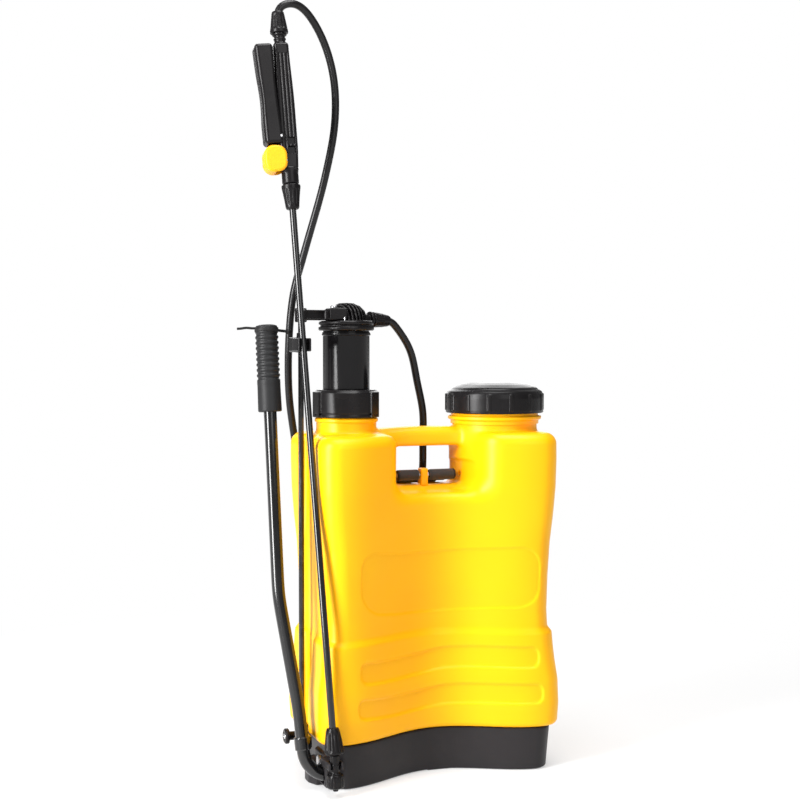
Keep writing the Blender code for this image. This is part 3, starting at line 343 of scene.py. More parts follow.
def turned(name, mat, body, node, profile, at, steps, edge, axis=(0, 0, 1), flute=None,
           slot=None):
    """Turned piece from a closed (radius, height) outline with its corners rounded to edge.

    flute(angle, height, radius) gives a new radius, for ribs and flats.
    """
    points = round_corners([np.array(point, float) for point in profile], edge)
    if flute:
        dense = []
        for here, there in zip(points, points[1:] + points[:1]):
            cuts = max(1, int(abs(there[1] - here[1]) / 0.0012))
            dense += [here + (there - here) * k / cuts for k in range(cuts)]
        points = dense
    turn_to = axes_for(axis)
    at = Vector(at)
    verts, faces, rows = [], [], []
    for radius, height in points:
        if radius < 1e-6:
            rows.append([len(verts)] * steps)
            verts.append(at + turn_to @ Vector((0, 0, height)))
            continue
        rows.append(range(len(verts), len(verts) + steps))
        for k in range(steps):
            angle = 2 * math.pi * k / steps
            reach = flute(angle, height, radius) if flute else radius
            verts.append(at + turn_to @ Vector((reach * math.cos(angle),
                                                reach * math.sin(angle), height)))
    area = 0
    for i, here in enumerate(points):
        after = (i + 1) % len(points)
        there = points[after]
        area += here[0] * there[1] - there[0] * here[1]
        if here[0] < 1e-6 and there[0] < 1e-6:
            continue
        for k in range(steps):
            j = (k + 1) % steps
            corners = (rows[i][k], rows[i][j], rows[after][j], rows[after][k])
            face = list(dict.fromkeys(corners))
            if len(face) > 2:
                faces.append(face)
    if area < 0:
        faces = [face[::-1] for face in faces]
    return finish(mesh_object(name, verts, faces, angle=40), mat, body, node, slot)


def relax(path, passes):
    for _ in range(passes):
        path[1:-1] = 0.25 * path[:-2] + 0.5 * path[1:-1] + 0.25 * path[2:]
    return path


def lengths(path):
    """Distance along a path at each of its points."""
    return np.concatenate([[0], np.cumsum(np.linalg.norm(np.diff(path, axis=0), axis=1))])


def resample(fine, step, passes=0):
    """Even samples along a fine path, then smoothed."""
    run = lengths(fine)
    even = np.linspace(0, run[-1], max(4, int(round(run[-1] / step))) + 1)
    return relax(np.stack([np.interp(even, run, fine[:, k]) for k in range(3)], 1), passes)


# knots that each stage of the spline's pyramid blends between
SPLINE_SPANS = (((0, 1), (1, 2), (2, 3)), ((0, 2), (1, 3)), ((1, 2),))


def smooth_path(points, step, passes=0):
    """Even samples of a centripetal Catmull-Rom spline."""
    pts = [np.array(point, float) for point in points]
    pts = [2 * pts[0] - pts[1]] + pts + [2 * pts[-1] - pts[-2]]
    fine = []
    for i in range(1, len(pts) - 2):
        four = pts[i - 1:i + 3]
        knots = [0.0]
        for here, there in zip(four, four[1:]):
            knots.append(knots[-1] + np.linalg.norm(there - here) ** 0.5)
        for k in range(24):
            now = knots[1] + (knots[2] - knots[1]) * k / 24
            row = four
            for spans in SPLINE_SPANS:
                row = [here + (there - here) * (now - knots[lo]) / (knots[hi] - knots[lo])
                       for here, there, (lo, hi) in zip(row, row[1:], spans)]
            fine.append(row[0])
    fine.append(pts[-2])
    return resample(np.array(fine), step, passes)


def unit_rows(rows):
    return rows / np.linalg.norm(rows, axis=1)[:, None]


def tangents(path):
    return unit_rows(np.gradient(path, axis=0))


def frames_along(path, up=None):
    """Two cross directions at each point: turned as little as possible, or square to up."""
    across, outward = [], []
    side = None
    for i, ahead in enumerate(tangents(path)):
        if up is not None:
            side = np.cross(np.asarray(up[i] if np.ndim(up) == 2 else up, float), ahead)
        elif side is None:
            hint = np.array((0, 0, 1.0)) if abs(ahead[2]) < 0.9 else np.array((1.0, 0, 0))
            side = np.cross(hint, ahead)
        else:
            side = side - ahead * np.dot(side, ahead)
        side = side / np.linalg.norm(side)
        across.append(side)
        outward.append(np.cross(ahead, side))
    return np.array(across), np.array(outward)


def tube(name, path, radius, sides, hollow=0.0):
    """Round tube along a path. hollow is the wall thickness; its ends then show the bore."""
    count = len(path)
    across, outward = frames_along(path)
    turn = np.linspace(0, 2 * math.pi, sides, endpoint=False)
    circle = (across[:, None, :] * np.cos(turn)[None, :, None]
              + outward[:, None, :] * np.sin(turn)[None, :, None])
    verts = list((path[:, None, :] + radius * circle).reshape(-1, 3))
    around = [(k, (k + 1) % sides) for k in range(sides)]
    last = (count - 1) * sides
    faces = [(i * sides + k, i * sides + j, (i + 1) * sides + j, (i + 1) * sides + k)
             for i in range(count - 1) for k, j in around]
    if hollow:
        base = len(verts)
        verts += list((path[:, None, :] + (radius - hollow) * circle).reshape(-1, 3))
        faces += [tuple(base + v for v in (i * sides + k, (i + 1) * sides + k,
                                           (i + 1) * sides + j, i * sides + j))
                  for i in range(count - 1) for k, j in around]
        for k, j in around:
            faces.append((k, base + k, base + j, j))
            faces.append((last + k, last + j, base + last + j, base + last + k))
    else:
        faces.append(tuple(range(sides))[::-1])
        faces.append(tuple(last + k for k in range(sides)))
    return mesh_object(name, verts, faces, angle=50)


def band(name, path, up, width, thick, cols, closed=False):
    """Flat webbing along a path. up points out of its face. UVs run across and along in metres."""
    count = len(path)
    across, outward = frames_along(path, up)
    width = np.broadcast_to(width, count)
    run = lengths(path)
    outline = ([(-1 + 2 * k / cols, 1) for k in range(cols + 1)]
               + [(1 - 2 * k / cols, -1) for k in range(cols + 1)])
    ring = len(outline)
    verts, uvs = [], []
    for i in range(count):
        for place, face_side in outline:
            thin = 1.0 - 0.55 * max(0.0, (abs(place) - 0.86) / 0.14) ** 2
            verts.append(path[i] + across[i] * place * width[i] / 2
                         + outward[i] * (thick / 2 * face_side * thin))
            uvs.append((place * width[i] / 2, run[i]))
    faces = []
    for i in range(count if closed else count - 1):
        j = (i + 1) % count
        for k in range(ring):
            after = (k + 1) % ring
            faces.append((i * ring + k, i * ring + after, j * ring + after, j * ring + k))
    if not closed:
        for row, flip in ((0, True), (count - 1, False)):
            for k in range(cols):
                face = tuple(row * ring + v for v in (k, k + 1, 2 * cols - k,
                                                      2 * cols + 1 - k))
                faces.append(face[::-1] if flip else face)
    obj = mesh_object(name, verts, faces, angle=50)
    mesh = obj.data
    layer = mesh.uv_layers.new(name="UVMap")
    index = np.empty(len(mesh.loops), int)
    mesh.loops.foreach_get("vertex_index", index)
    layer.data.foreach_set("uv", np.array(uvs)[index].ravel())
    face_outward(mesh)
    return obj


# ------------------------------------------------------------------ distance fields
# Every field is negative inside the shape and positive outside.
def join(first, second, soft):
    """Union with a fillet."""
    share = np.clip(0.5 + 0.5 * (second - first) / soft, 0, 1)
    return second + (first - second) * share - soft * share * (1 - share)


def overlap(first, second, soft):
    """Intersection with a softened edge."""
    return -join(-first, -second, soft)


def carve(body, tool, soft):
    """Take the tool away, with a softened edge."""
    return overlap(body, -tool, soft)


def meet(*parts):
    """Sharp intersection."""
    out = parts[0]
    for part in parts[1:]:
        out = np.maximum(out, part)
    return out


def cut(body, tool):
    """Take the tool away, with a sharp edge."""
    return np.maximum(body, -tool)


def span(one, two):
    return np.sqrt(one * one + two * two)


def away(x, y, axis):
    """Distance from an upright axis."""
    return span(x - axis[0], y - axis[1])


def corner(*walls):
    """Distance to a corner of square walls, from the distance past each wall."""
    reach = sum(np.maximum(wall, 0) ** 2 for wall in walls)
    return np.sqrt(reach) + np.minimum(meet(*walls), 0)


def box(x, y, z, centre, half, edge=0.0):
    return corner(*(np.abs(value - middle) - (size - edge)
                    for value, middle, size in zip((x, y, z), centre, half))) - edge


def cylinder(x, y, z, radius, low, high, edge=0.0):
    """Cylinder round the last axis given."""
    return corner(span(x, y) - (radius - edge),
                  np.abs(z - (low + high) / 2) - ((high - low) / 2 - edge)) - edge


def slot_shape(x, z, left, right, low, high, edge):
    """Rounded rectangle in the xz plane."""
    return corner(np.abs(x - (left + right) / 2) - ((right - left) / 2 - edge),
                  np.abs(z - (low + high) / 2) - ((high - low) / 2 - edge)) - edge


def outline_shape(rad, z, points):
    """Signed distance to a closed outline in (radius, height)."""
    near = np.full(np.broadcast(rad, z).shape, 1e9, np.float32)
    sign = np.ones_like(near)
    for i, (r_here, z_here) in enumerate(points):
        r_next, z_next = points[(i + 1) % len(points)]
        edge_r, edge_z = r_next - r_here, z_next - z_here
        off_r, off_z = rad - r_here, z - z_here
        part = np.clip((off_r * edge_r + off_z * edge_z)
                       / (edge_r * edge_r + edge_z * edge_z + 1e-18), 0, 1)
        near = np.minimum(near, (off_r - edge_r * part) ** 2 + (off_z - edge_z * part) ** 2)
        above, below, beside = z >= z_here, z < z_next, edge_r * off_z > edge_z * off_r
        sign = np.where((above & below & beside) | (~above & ~below & ~beside), -sign, sign)
    return sign * np.sqrt(near)


def about_axis(x, y, z, at, axis):
    """Distance off and along a slanted axis."""
    off_x, off_y, off_z = x - at.x, y - at.y, z - at.z
    along = off_x * axis.x + off_y * axis.y + off_z * axis.z
    square = off_x * off_x + off_y * off_y + off_z * off_z - along * along
    return np.sqrt(np.maximum(square, 0)), along


def step01(value, low, high):
    part = np.clip((value - low) / (high - low), 0, 1)
    return part * part * (3 - 2 * part)


def cells_beside(edges, axis, shift, cells):
    """The cell each grid edge touches after a shift across it, and whether it is in the grid."""
    cell = edges.copy()
    cell[:, (axis + 1) % 3] += shift[0]
    cell[:, (axis + 2) % 3] += shift[1]
    return cell, ((cell >= 0) & (cell < np.array(cells))).all(1)


def nets(field, low, high, step, project=3):
    """Vertices and quads where the field is zero.

    Each mixed cell gets one vertex, which is then pulled onto the surface.
    """
    grid = [np.arange(low[k] - 1.5 * step, high[k] + 1.6 * step, step).astype(np.float32)
            for k in range(3)]
    grid_x, grid_y, grid_z = grid[0][:, None, None], grid[1][None, :, None], grid[2][None, None, :]
    shape = tuple(len(line) for line in grid)
    values = np.empty(shape, np.float32)
    slab = max(1, int(1.5e6 / (shape[1] * shape[2])))   # bounds the memory in use
    for i in range(0, shape[0], slab):
        values[i:i + slab] = field(grid_x[i:i + slab], grid_y, grid_z)
    values = np.where(np.abs(values) < 1e-9, 1e-9, values)
    inside = values < 0
    cells = tuple(count - 1 for count in shape)
    total = [np.zeros(cells, np.float32) for _ in range(3)]
    count = np.zeros(cells, np.float32)
    crossings = []
    for axis in range(3):
        edges = np.argwhere(np.diff(inside, axis=axis))
        ends = edges.copy()
        ends[:, axis] += 1
        first, second = values[tuple(edges.T)], values[tuple(ends.T)]
        place = np.stack([grid[k][edges[:, k]] for k in range(3)], 1)
        place[:, axis] += first / (first - second) * step
        crossings.append((axis, edges, first < 0))
        for shift in ((0, 0), (0, -1), (-1, 0), (-1, -1)):
            cell, good = cells_beside(edges, axis, shift, cells)
            index = tuple(cell[good].T)
            for k in range(3):
                np.add.at(total[k], index, place[good, k])
            np.add.at(count, index, 1)
    used = count > 0
    number = np.full(cells, -1, np.int64)
    number[used] = np.arange(int(used.sum()))
    verts = np.stack([total[k][used] / count[used] for k in range(3)], 1).astype(np.float64)
    quads = []
    for axis, edges, leaving in crossings:
        corners = []
        whole = np.ones(len(edges), bool)
        for shift in ((0, 0), (-1, 0), (-1, -1), (0, -1)):
            cell, good = cells_beside(edges, axis, shift, cells)
            whole &= good
            corners.append(number[tuple(np.clip(cell, 0, np.array(cells) - 1).T)])
        quad = np.stack(corners, 1)
        quad = np.where(leaving[:, None], quad, quad[:, ::-1])
        quads.append(quad[whole & (quad >= 0).all(1)])
    nudge = step * 0.15
    start = verts.copy()
    for _ in range(project):
        error = field(*verts.T)
        slope = np.stack([field(*(verts + shift).T) - field(*(verts - shift).T)
                          for shift in np.eye(3) * nudge], 1) / (2 * nudge)
        verts = verts - slope * (error / np.maximum((slope * slope).sum(1), 0.25))[:, None]
        verts = start + np.clip(verts - start, -0.6 * step, 0.6 * step)
    return verts, np.concatenate(quads)


def quad_object(name, verts, quads, angle):
    mesh = bpy.data.meshes.new(name)
    mesh.vertices.add(len(verts))
    mesh.vertices.foreach_set("co", np.ascontiguousarray(verts, np.float32).ravel())
    mesh.loops.add(len(quads) * 4)
    mesh.loops.foreach_set("vertex_index", np.ascontiguousarray(quads, np.int32).ravel())
    mesh.polygons.add(len(quads))
    mesh.polygons.foreach_set("loop_start", np.arange(0, len(quads) * 4, 4, dtype=np.int32))
    mesh.update(calc_edges=True)
    mesh.validate()
    return smooth_object(name, mesh, angle)


def moulded(name, mat, body, node, field, low, high, step, angle=50, place=None):
    """A moulded piece from a distance field; place maps its own axes to the frame."""
    verts, quads = nets(field, low, high, step * (1.0))
    if place is not None:
        verts = place(verts)
    return finish(quad_object(name, verts, quads, angle), mat, body, node)


# ------------------------------------------------------------------ tank
# height, half width, reach to the front, reach to the back
LEVELS = np.array([
    (0.05, 0.1812, 0.1008, 0.091), (0.069, 0.1822, 0.1016, 0.0918),
    (0.095, 0.1835, 0.103, 0.093), (0.13, 0.1825, 0.102, 0.0925),
    (0.158, 0.1785, 0.0998, 0.0916), (0.18, 0.1762, 0.0985, 0.0909),
    (0.1985, 0.175, 0.0974, 0.0904), (0.206, 0.1699, 0.0929, 0.0881),
    (0.23, 0.1688, 0.0921, 0.0872), (0.28, 0.17, 0.093, 0.0875),
    (0.33, 0.1725, 0.095, 0.0885), (0.37, 0.1765, 0.0975, 0.09),
    (0.41, 0.1793, 0.0998, 0.0914), (0.45, 0.1803, 0.1004, 0.0919),
    (0.5, 0.18, 0.1, 0.0918)])
# lower edges of the front panel and of the two long recesses below it, as (x, height)
PANEL_EDGE = np.array([
    (-0.15, 0.246), (-0.122, 0.244), (-0.09, 0.237), (-0.0545, 0.2325), (0.0, 0.232),
    (0.06, 0.2345), (0.133, 0.2374), (0.16, 0.238)])
UPPER_EDGE = np.array([
    (-0.15, 0.147), (-0.12, 0.1445), (-0.105, 0.1429), (-0.062, 0.1419), (-0.023, 0.1441),
    (0.014, 0.1493), (0.054, 0.1504), (0.099, 0.15), (0.16, 0.149)])
LOWER_EDGE = np.array([
    (-0.15, 0.0975), (-0.12, 0.0958), (-0.106, 0.0945), (-0.066, 0.0918), (-0.024, 0.0933),
    (0.013, 0.0975), (0.053, 0.0985), (0.099, 0.0985), (0.16, 0.098)])
# lower edge, (left, right, low, high, corner radius), depth, width of the sloping side
FRONT_RECESSES = (
    (PANEL_EDGE, (-0.1228, 0.148, 0.234, 0.3215, 0.03), 0.0017, 0.0016),
    (UPPER_EDGE, (-0.1262, 0.145, 0.146, 0.177, 0.012), 0.0028, 0.003),
    (LOWER_EDGE, (-0.1306, 0.15, 0.096, 0.125, 0.011), 0.0028, 0.003))
BACK_RECESS, BACK_RECESS_DEPTH = (-0.12, 0.12, 0.11, 0.36, 0.03), 0.0016
# axis, collar radius, collar flare, collar blend, well radius and floor,
# then the same well with its wall
WELLS = ((PUMP, 0.0432, 0.10, 0.0075, 0.0392, 0.26, 0.0424, 0.2565),
         (FILL, 0.0628, 0.06, 0.007, 0.059, 0.4442, 0.0622, 0.441))


def soft_levels():
    """Heights and sizes of the tank, with the steps between levels blurred."""
    heights = np.arange(0.040, 0.510, 0.0005)
    weights = np.exp(-0.5 * (np.arange(-16, 17) * 0.5 / 1.3) ** 2)
    weights /= weights.sum()
    columns = [np.interp(heights, LEVELS[:, 0], LEVELS[:, k]) for k in (1, 2, 3)]
    return heights, np.stack([np.convolve(np.pad(column, 16, mode="edge"), weights, "valid")
                              for column in columns], 1)


TANK_Z, TANK_SIZES = soft_levels()


def body_field(x, y, z, sizes, heights, top, bottom, top_edge, bottom_edge, relief=False,
               inset=0.0):
    """Rounded body with a hollow front, from its half width and reaches at each height."""
    level = np.clip(z, heights[0], heights[-1])
    half, ahead, behind = (np.interp(level, heights, sizes[:, k]) - inset for k in range(3))
    dent = 0.050 - 0.012 * np.clip((z - 0.22) / 0.27, 0, 1)
    swell = np.where(np.abs(x) < 0.152, 0.5 * (1 + np.cos(np.pi * x / 0.152)), 0.0)
    front = -y - (ahead - dent * swell)
    back = y - behind
    if relief:
        for edge, sides, depth, slope in FRONT_RECESSES:
            lift = np.interp(x, edge[:, 0], edge[:, 1]) - sides[2]
            recess = slot_shape(x, z - lift, *sides)
            front = front + depth * step01(-recess, -0.001, slope)
        recess = slot_shape(x, z, *BACK_RECESS)
        back = back + BACK_RECESS_DEPTH * step01(-recess, -0.002, 0.004)
    round_side = np.where(y > 0, 0.030, 0.028)
    wall = corner(np.abs(x) - (half - round_side), np.maximum(front, back) + round_side)
    wall = wall - round_side
    round_end = np.where(z > 0.3, top_edge, bottom_edge)
    ends = np.maximum(z - top, bottom - z)
    return corner(wall + round_end, ends + round_end) - round_end


def tank_outer(x, y, z, relief=True):
    solid = body_field(x, y, z, TANK_SIZES, TANK_Z, top=BODY_TOP, bottom=0.0632,
                       top_edge=0.017, bottom_edge=0.0075, relief=relief)
    # scoops in front of and behind the carrying handle
    reach = np.maximum(-y - 0.022, 0.0)
    wall = x - (0.0475 + 0.30 * np.maximum(0.012 - y, 0.0))
    front = overlap(overlap(-0.057 - 0.12 * reach - x, wall, 0.012),
                    overlap(0.405 - z - 0.05 * reach, y + 0.014, 0.018), 0.026)
    wall = x - (0.05 + 0.38 * np.maximum(y - 0.01, 0.0))
    back = overlap(overlap(-0.057 - x, wall, 0.012), overlap(0.403 - z, 0.016 - y, 0.016), 0.020)
    solid = carve(carve(solid, front, 0.018), back, 0.014)
    # handle bar with a soft arch
    arch = 0.003 * (x / 0.075) ** 2
    bar = box(x, y, z + arch, centre=(0.0, 0.002, 0.48), half=(0.078, 0.02, 0.0168), edge=0.012)
    solid = join(solid, bar, 0.010)
    # opening below the bar, its +X wall opening out toward the front
    window = box(x, y, z, centre=(0.004, 0.0, 0.44125), half=(0.0525, 0.06, 0.02775), edge=0.009)
    window = overlap(window, x - (0.051 + 0.25 * np.maximum(0.012 - y, 0.0)), 0.006)
    solid = carve(solid, window, 0.006)
    # channel for the connecting rod
    channel = box(x, y, z, centre=(-0.19, 0.002, 0.29), half=(0.0225, 0.0245, 0.26), edge=0.006)
    return carve(solid, channel, 0.009)


def tank_solid(x, y, z):
    solid = tank_outer(x, y, z)
    # collars under the necks
    for axis, radius, flare, soft, *_ in WELLS:
        wall = away(x, y, axis) - (radius + flare * np.maximum(0.490 - z, 0))
        solid = join(solid, meet(wall, z - 0.5085, 0.450 - z), soft)
    # lug in the handle opening, bored for the strap bar
    lug = box(x, y, z, centre=(-0.002, -0.01, 0.424), half=(0.0055, 0.008, 0.0125), edge=0.0022)
    solid = join(solid, lug, 0.0015)
    bore = (span(y - BAR_AT[1], z - BAR_AT[2]) - 0.0043
            + 0.02 * np.maximum(np.abs(x - BAR_AT[0]) - 0.012, 0))
    solid = carve(solid, bore, 0.0004)
    # wells that the pump and the strainer hang in
    for axis, _, _, _, radius, floor_z, *_ in WELLS:
        solid = cut(solid, np.maximum(away(x, y, axis) - radius, floor_z - z))
    return solid


def tank_void(x, y, z):
    """The hollow inside the tank."""
    void = tank_outer(x, y, z, relief=False) + 0.0042
    for axis, *_, radius, floor_z in WELLS:
        void = cut(void, np.maximum(away(x, y, axis) - radius, floor_z - z))
    return cut(void, box(x, y, z, centre=(-0.002, -0.01, 0.424), half=(0.040, 0.012, 0.0165)))


def build_tank():
    verts, quads = nets(tank_solid, (-0.186, -0.105, 0.0625), (0.186, 0.095, 0.510),
                        step=0.0020)
    inner_verts, inner_quads = nets(tank_void, (-0.182, -0.100, 0.065), (0.182, 0.092, 0.488),
                                    step=0.0060, project=2)
    quads = np.concatenate([quads, inner_quads[:, ::-1] + len(verts)])
    piece = quad_object("Tank_Body", np.concatenate([verts, inner_verts]), quads, angle=55)
    finish(piece, TANK_MAT, "tank_unit", "tank")


def build_neck(name, axis, bore, outer, lip_radius, top, lip=0.5065):
    """Threaded neck with a lip below the thread."""
    profile = [(bore, 0.4995), (outer, 0.4995), (outer, lip - 0.0015), (lip_radius, lip),
               (lip_radius, lip + 0.0042), (outer - 0.0008, lip + 0.0054)]
    z = lip + 0.0075
    while z < top - 0.0048:
        profile += [(outer - 0.0009, z), (outer - 0.0001, z + 0.001),
                    (outer - 0.0001, z + 0.0018), (outer - 0.0009, z + 0.0028)]
        z += 0.0052
    profile += [(outer - 0.0009, top), (bore, top)]
    turned(name, NECK_MAT, "tank_unit", "tank", profile, (*axis, 0), steps=96, edge=0.0007)


build_tank()
build_neck("Pump_Neck", PUMP, bore=0.0394, outer=0.043, lip_radius=0.0455, top=0.5398)
build_neck("Filler_Neck", FILL, bore=0.0592, outer=0.0655, lip_radius=0.0693, top=0.5446)

# ------------------------------------------------------------------ base
# half width, reach to the front and reach to the back, at each height
BASE_SIZES = np.array([(0.166, 0.093, 0.084), (0.1674, 0.0945, 0.0854),
                       (0.1722, 0.0962, 0.0877)])
BASE_Z = np.array([0.0, 0.0030, 0.0625])
STUD_X, STUD_Y, STUD_Z = 0.1719, 0.045, 0.045


def base_field(x, y, z):
    edges = dict(top_edge=0.001, bottom_edge=0.0026)
    solid = body_field(x, y, z, BASE_SIZES, BASE_Z, top=0.0622, bottom=0.0005, **edges)
    inner = body_field(x, y, z, BASE_SIZES, BASE_Z, top=0.0585, bottom=-0.05, inset=0.0032,
                       **edges)
    solid = cut(solid, inner)
    # wedge behind the lever's foot, its outer face running outward to the rear
    wedge = box(x, y, z, centre=(-0.18, -0.0432, 0.0181), half=(0.016, 0.018, 0.0174), edge=0.003)
    wedge = overlap(wedge, -0.1715 - 0.44 * (y + 0.08) - x, 0.003)
    # stops short of the plane that the crank plate swings down in
    wedge = overlap(wedge, -0.187 - x, 0.0015)
    solid = join(solid, wedge, 0.002)
    # block round the pivot
    block = box(x, y, z, centre=(-0.161, -0.063, 0.0268), half=(0.015, 0.028, 0.023), edge=0.0045)
    solid = join(solid, block, 0.0015)
    # forked tab at the front left corner
    tab = box(x, y, z, centre=(-0.1706, -0.104, 0.043), half=(0.011, 0.02, 0.0055), edge=0.0018)
    solid = join(solid, tab, 0.002)
    notch = box(x, y, z, centre=(-0.1706, -0.1235, 0.043), half=(0.0076, 0.015, 0.015),
                edge=0.004)
    solid = carve(solid, notch, 0.001)
    # post, low block and upright rib inside the skirt
    solid = join(solid, cylinder(x, y, z, 0.013, low=0.0002, high=0.06, edge=0.0012), 0.002)
    block = box(x, y, z, centre=(0.01, -0.037, 0.0061), half=(0.017, 0.008, 0.0059), edge=0.0018)
    solid = join(solid, block, 0.0015)
    rib = box(x, y, z, centre=(-0.1345, -0.072, 0.035), half=(0.0055, 0.012, 0.025), edge=0.0014)
    solid = join(solid, rib, 0.002)
    # stepped bore for the lever's foot
    off = span(y - PIVOT_Y, z - PIVOT_Z)
    solid = cut(solid, meet(off - 0.012, -0.193 - x, x + 0.133))
    return cut(solid, meet(off - 0.0093, -0.1545 - x, x + 0.1145))


moulded("Base_Skirt", BASE_MAT, "tank_unit", "base", base_field, (-0.2, -0.126, 0.0),
        (0.174, 0.09, 0.0625), step=0.0018, angle=45)


def screw_flats(angle, z, radius):
    return radius * (0.93 + 0.07 * math.cos(6 * angle) ** 2) if z < 0.0250 else radius


# strap studs with a plated screw in the middle
for tag, side in SIDES:
    place = dict(at=(side * STUD_X, STUD_Y, STUD_Z), axis=(side, 0, 0))
    turned(f"Strap_Stud_{tag}", BLACK_MAT, "tank_unit", "strap_stud_" + tag, [
        (0, 0.0003), (0.0078, 0.0003), (0.0078, 0.0022), (0.0064, 0.003), (0.0064, 0.0178),
        (0.008, 0.0186), (0.0112, 0.0196), (0.0112, 0.0238), (0.0094, 0.0254),
        (0.006, 0.0256), (0.0056, 0.024), (0, 0.024)], steps=48, edge=0.0006, **place)
    turned(f"Strap_Stud_Screw_{tag}", STEEL_MAT, "tank_unit", "strap_stud_" + tag, [
        (0, 0.0238), (0.0046, 0.0238), (0.0046, 0.0247), (0.004, 0.0256), (0.0022, 0.0259),
        (0.0021, 0.025), (0, 0.025)], steps=36, edge=0.0003, flute=screw_flats, **place)

# ------------------------------------------------------------------ collar nut
NUT_LOW, NUT_TOP = 0.5125, 0.5520


def nut_field(x, y, z):
    off_x, off_y = x - PUMP[0], y - PUMP[1]
    rad, angle = span(off_x, off_y), np.arctan2(off_y, off_x)
    solid = outline_shape(rad, z, [
        (0.0347, NUT_TOP - 0.004), (0.0347, NUT_TOP), (0.0425, NUT_TOP),
        (0.047, NUT_TOP - 0.0042), (0.047, NUT_LOW + 0.0006), (0.0462, NUT_LOW),
        (0.0436, NUT_LOW), (0.0436, NUT_TOP - 0.0042)])
    # three lugs
    turn = np.mod(angle - math.radians(-50) + math.pi / 3, 2 * math.pi / 3) - math.pi / 3
    lug = meet(np.abs(rad * np.sin(turn)) - 0.0098, rad * np.cos(turn) - 0.0494, 0.0455 - rad,
               NUT_LOW + 0.0005 - z, z - NUT_TOP + 0.003)
    solid = join(solid, lug, 0.0016)
    # shallow groove near the foot
    return carve(solid, span(rad - 0.0476, z - NUT_LOW - 0.005) - 0.0012, 0.001)


moulded("Collar_Nut", BLACK_MAT, "tank_unit", "collar_nut", nut_field,
        (-0.168, -0.052, NUT_LOW), (-0.064, 0.052, NUT_TOP), step=0.0009)

# ------------------------------------------------------------------ air chamber and its head
CHAMBER_R = 0.0335
turned("Air_Chamber", GLOSS_MAT, "air_chamber_unit", "air_chamber", [
    (0.0122, 0.412), (0.0318, 0.412), (CHAMBER_R, 0.4135), (CHAMBER_R, 0.629), (0.035, 0.6296),
    (0.035, 0.6335), (CHAMBER_R, 0.6341), (CHAMBER_R, 0.636), (0.0306, 0.636), (0.0306, 0.416),
    (0.0122, 0.416)], (*PUMP, 0), steps=96, edge=0.0006)


def head_field(x, y, z):
    off_x, off_y = x - PUMP[0], y - PUMP[1]
    rad = span(off_x, off_y)
    solid = outline_shape(rad, z, [
        (0, 0.648), (0.0308, 0.648), (0.0308, 0.6365), (0.0385, 0.6363), (0.04, 0.638),
        (0.04, 0.641), (0.0385, 0.6423), (0.0372, 0.6428), (0.0372, 0.6442), (0.0388, 0.6448),
        (0.0396, 0.646), (0.0396, 0.6484), (0.0375, 0.6502), (0.0262, 0.6508), (0.025, 0.6556),
        (0.0222, 0.6618), (0.0164, 0.6668), (0.009, 0.6694), (0, 0.6702)])
    # fins that stand square to the outlet, 5.8 mm apart
    fin = off_x * 0.93 + off_y * 0.37 - 0.0015
    fin = (np.mod(fin / 0.0058 + 0.5, 1.0) - 0.5) * 0.0058
    dome = outline_shape(rad, z, [(0, 0.65), (0.0301, 0.65), (0.0298, 0.656), (0.0267, 0.6643),
                                  (0.0201, 0.6713), (0.0105, 0.6754), (0, 0.6763)])
    solid = join(solid, overlap(np.abs(fin) - 0.0012, dome, 0.001), 0.0012)
    # outlet: a short pipe with a collar
    off, along = about_axis(x, y, z, OUTLET, OUTLET_DIR)
    pipe = outline_shape(off, along, [
        (0, 0.0), (0.0084, 0.0), (0.0078, 0.028), (0.0072, 0.0372), (0.0104, 0.038),
        (0.0117, 0.039), (0.0117, 0.042), (0.0108, 0.043), (0, 0.043)])
    solid = join(solid, pipe, 0.003)
    return cut(solid, np.maximum(off - 0.0036, 0.015 - along))


def boot_flute(angle, z, radius):
    if 0.0470 < z < 0.0600 and radius > 0.008:
        return radius - 0.0005 * (0.5 + 0.5 * math.cos(12 * angle))
    return radius


moulded("Chamber_Head", BLACK_MAT, "air_chamber_unit", "chamber_head", head_field,
        (-0.158, -0.042, 0.636), (-0.07, 0.042, 0.677), step=0.00075)
turned("Outlet_Boot_Nut", BLACK_MAT, "air_chamber_unit", "outlet_nut", [
    (0.0058, 0.0433), (0.0096, 0.0433), (0.0114, 0.0446), (0.0112, 0.049), (0.01, 0.06),
    (0.0084, 0.07), (0.0074, 0.0728), (0.0058, 0.0728)], OUTLET, axis=OUTLET_DIR, steps=72,
    edge=0.0006, flute=boot_flute)

# ------------------------------------------------------------------ cross arm
ARM_Z = 0.6580
ARM_TURN = math.radians(9)


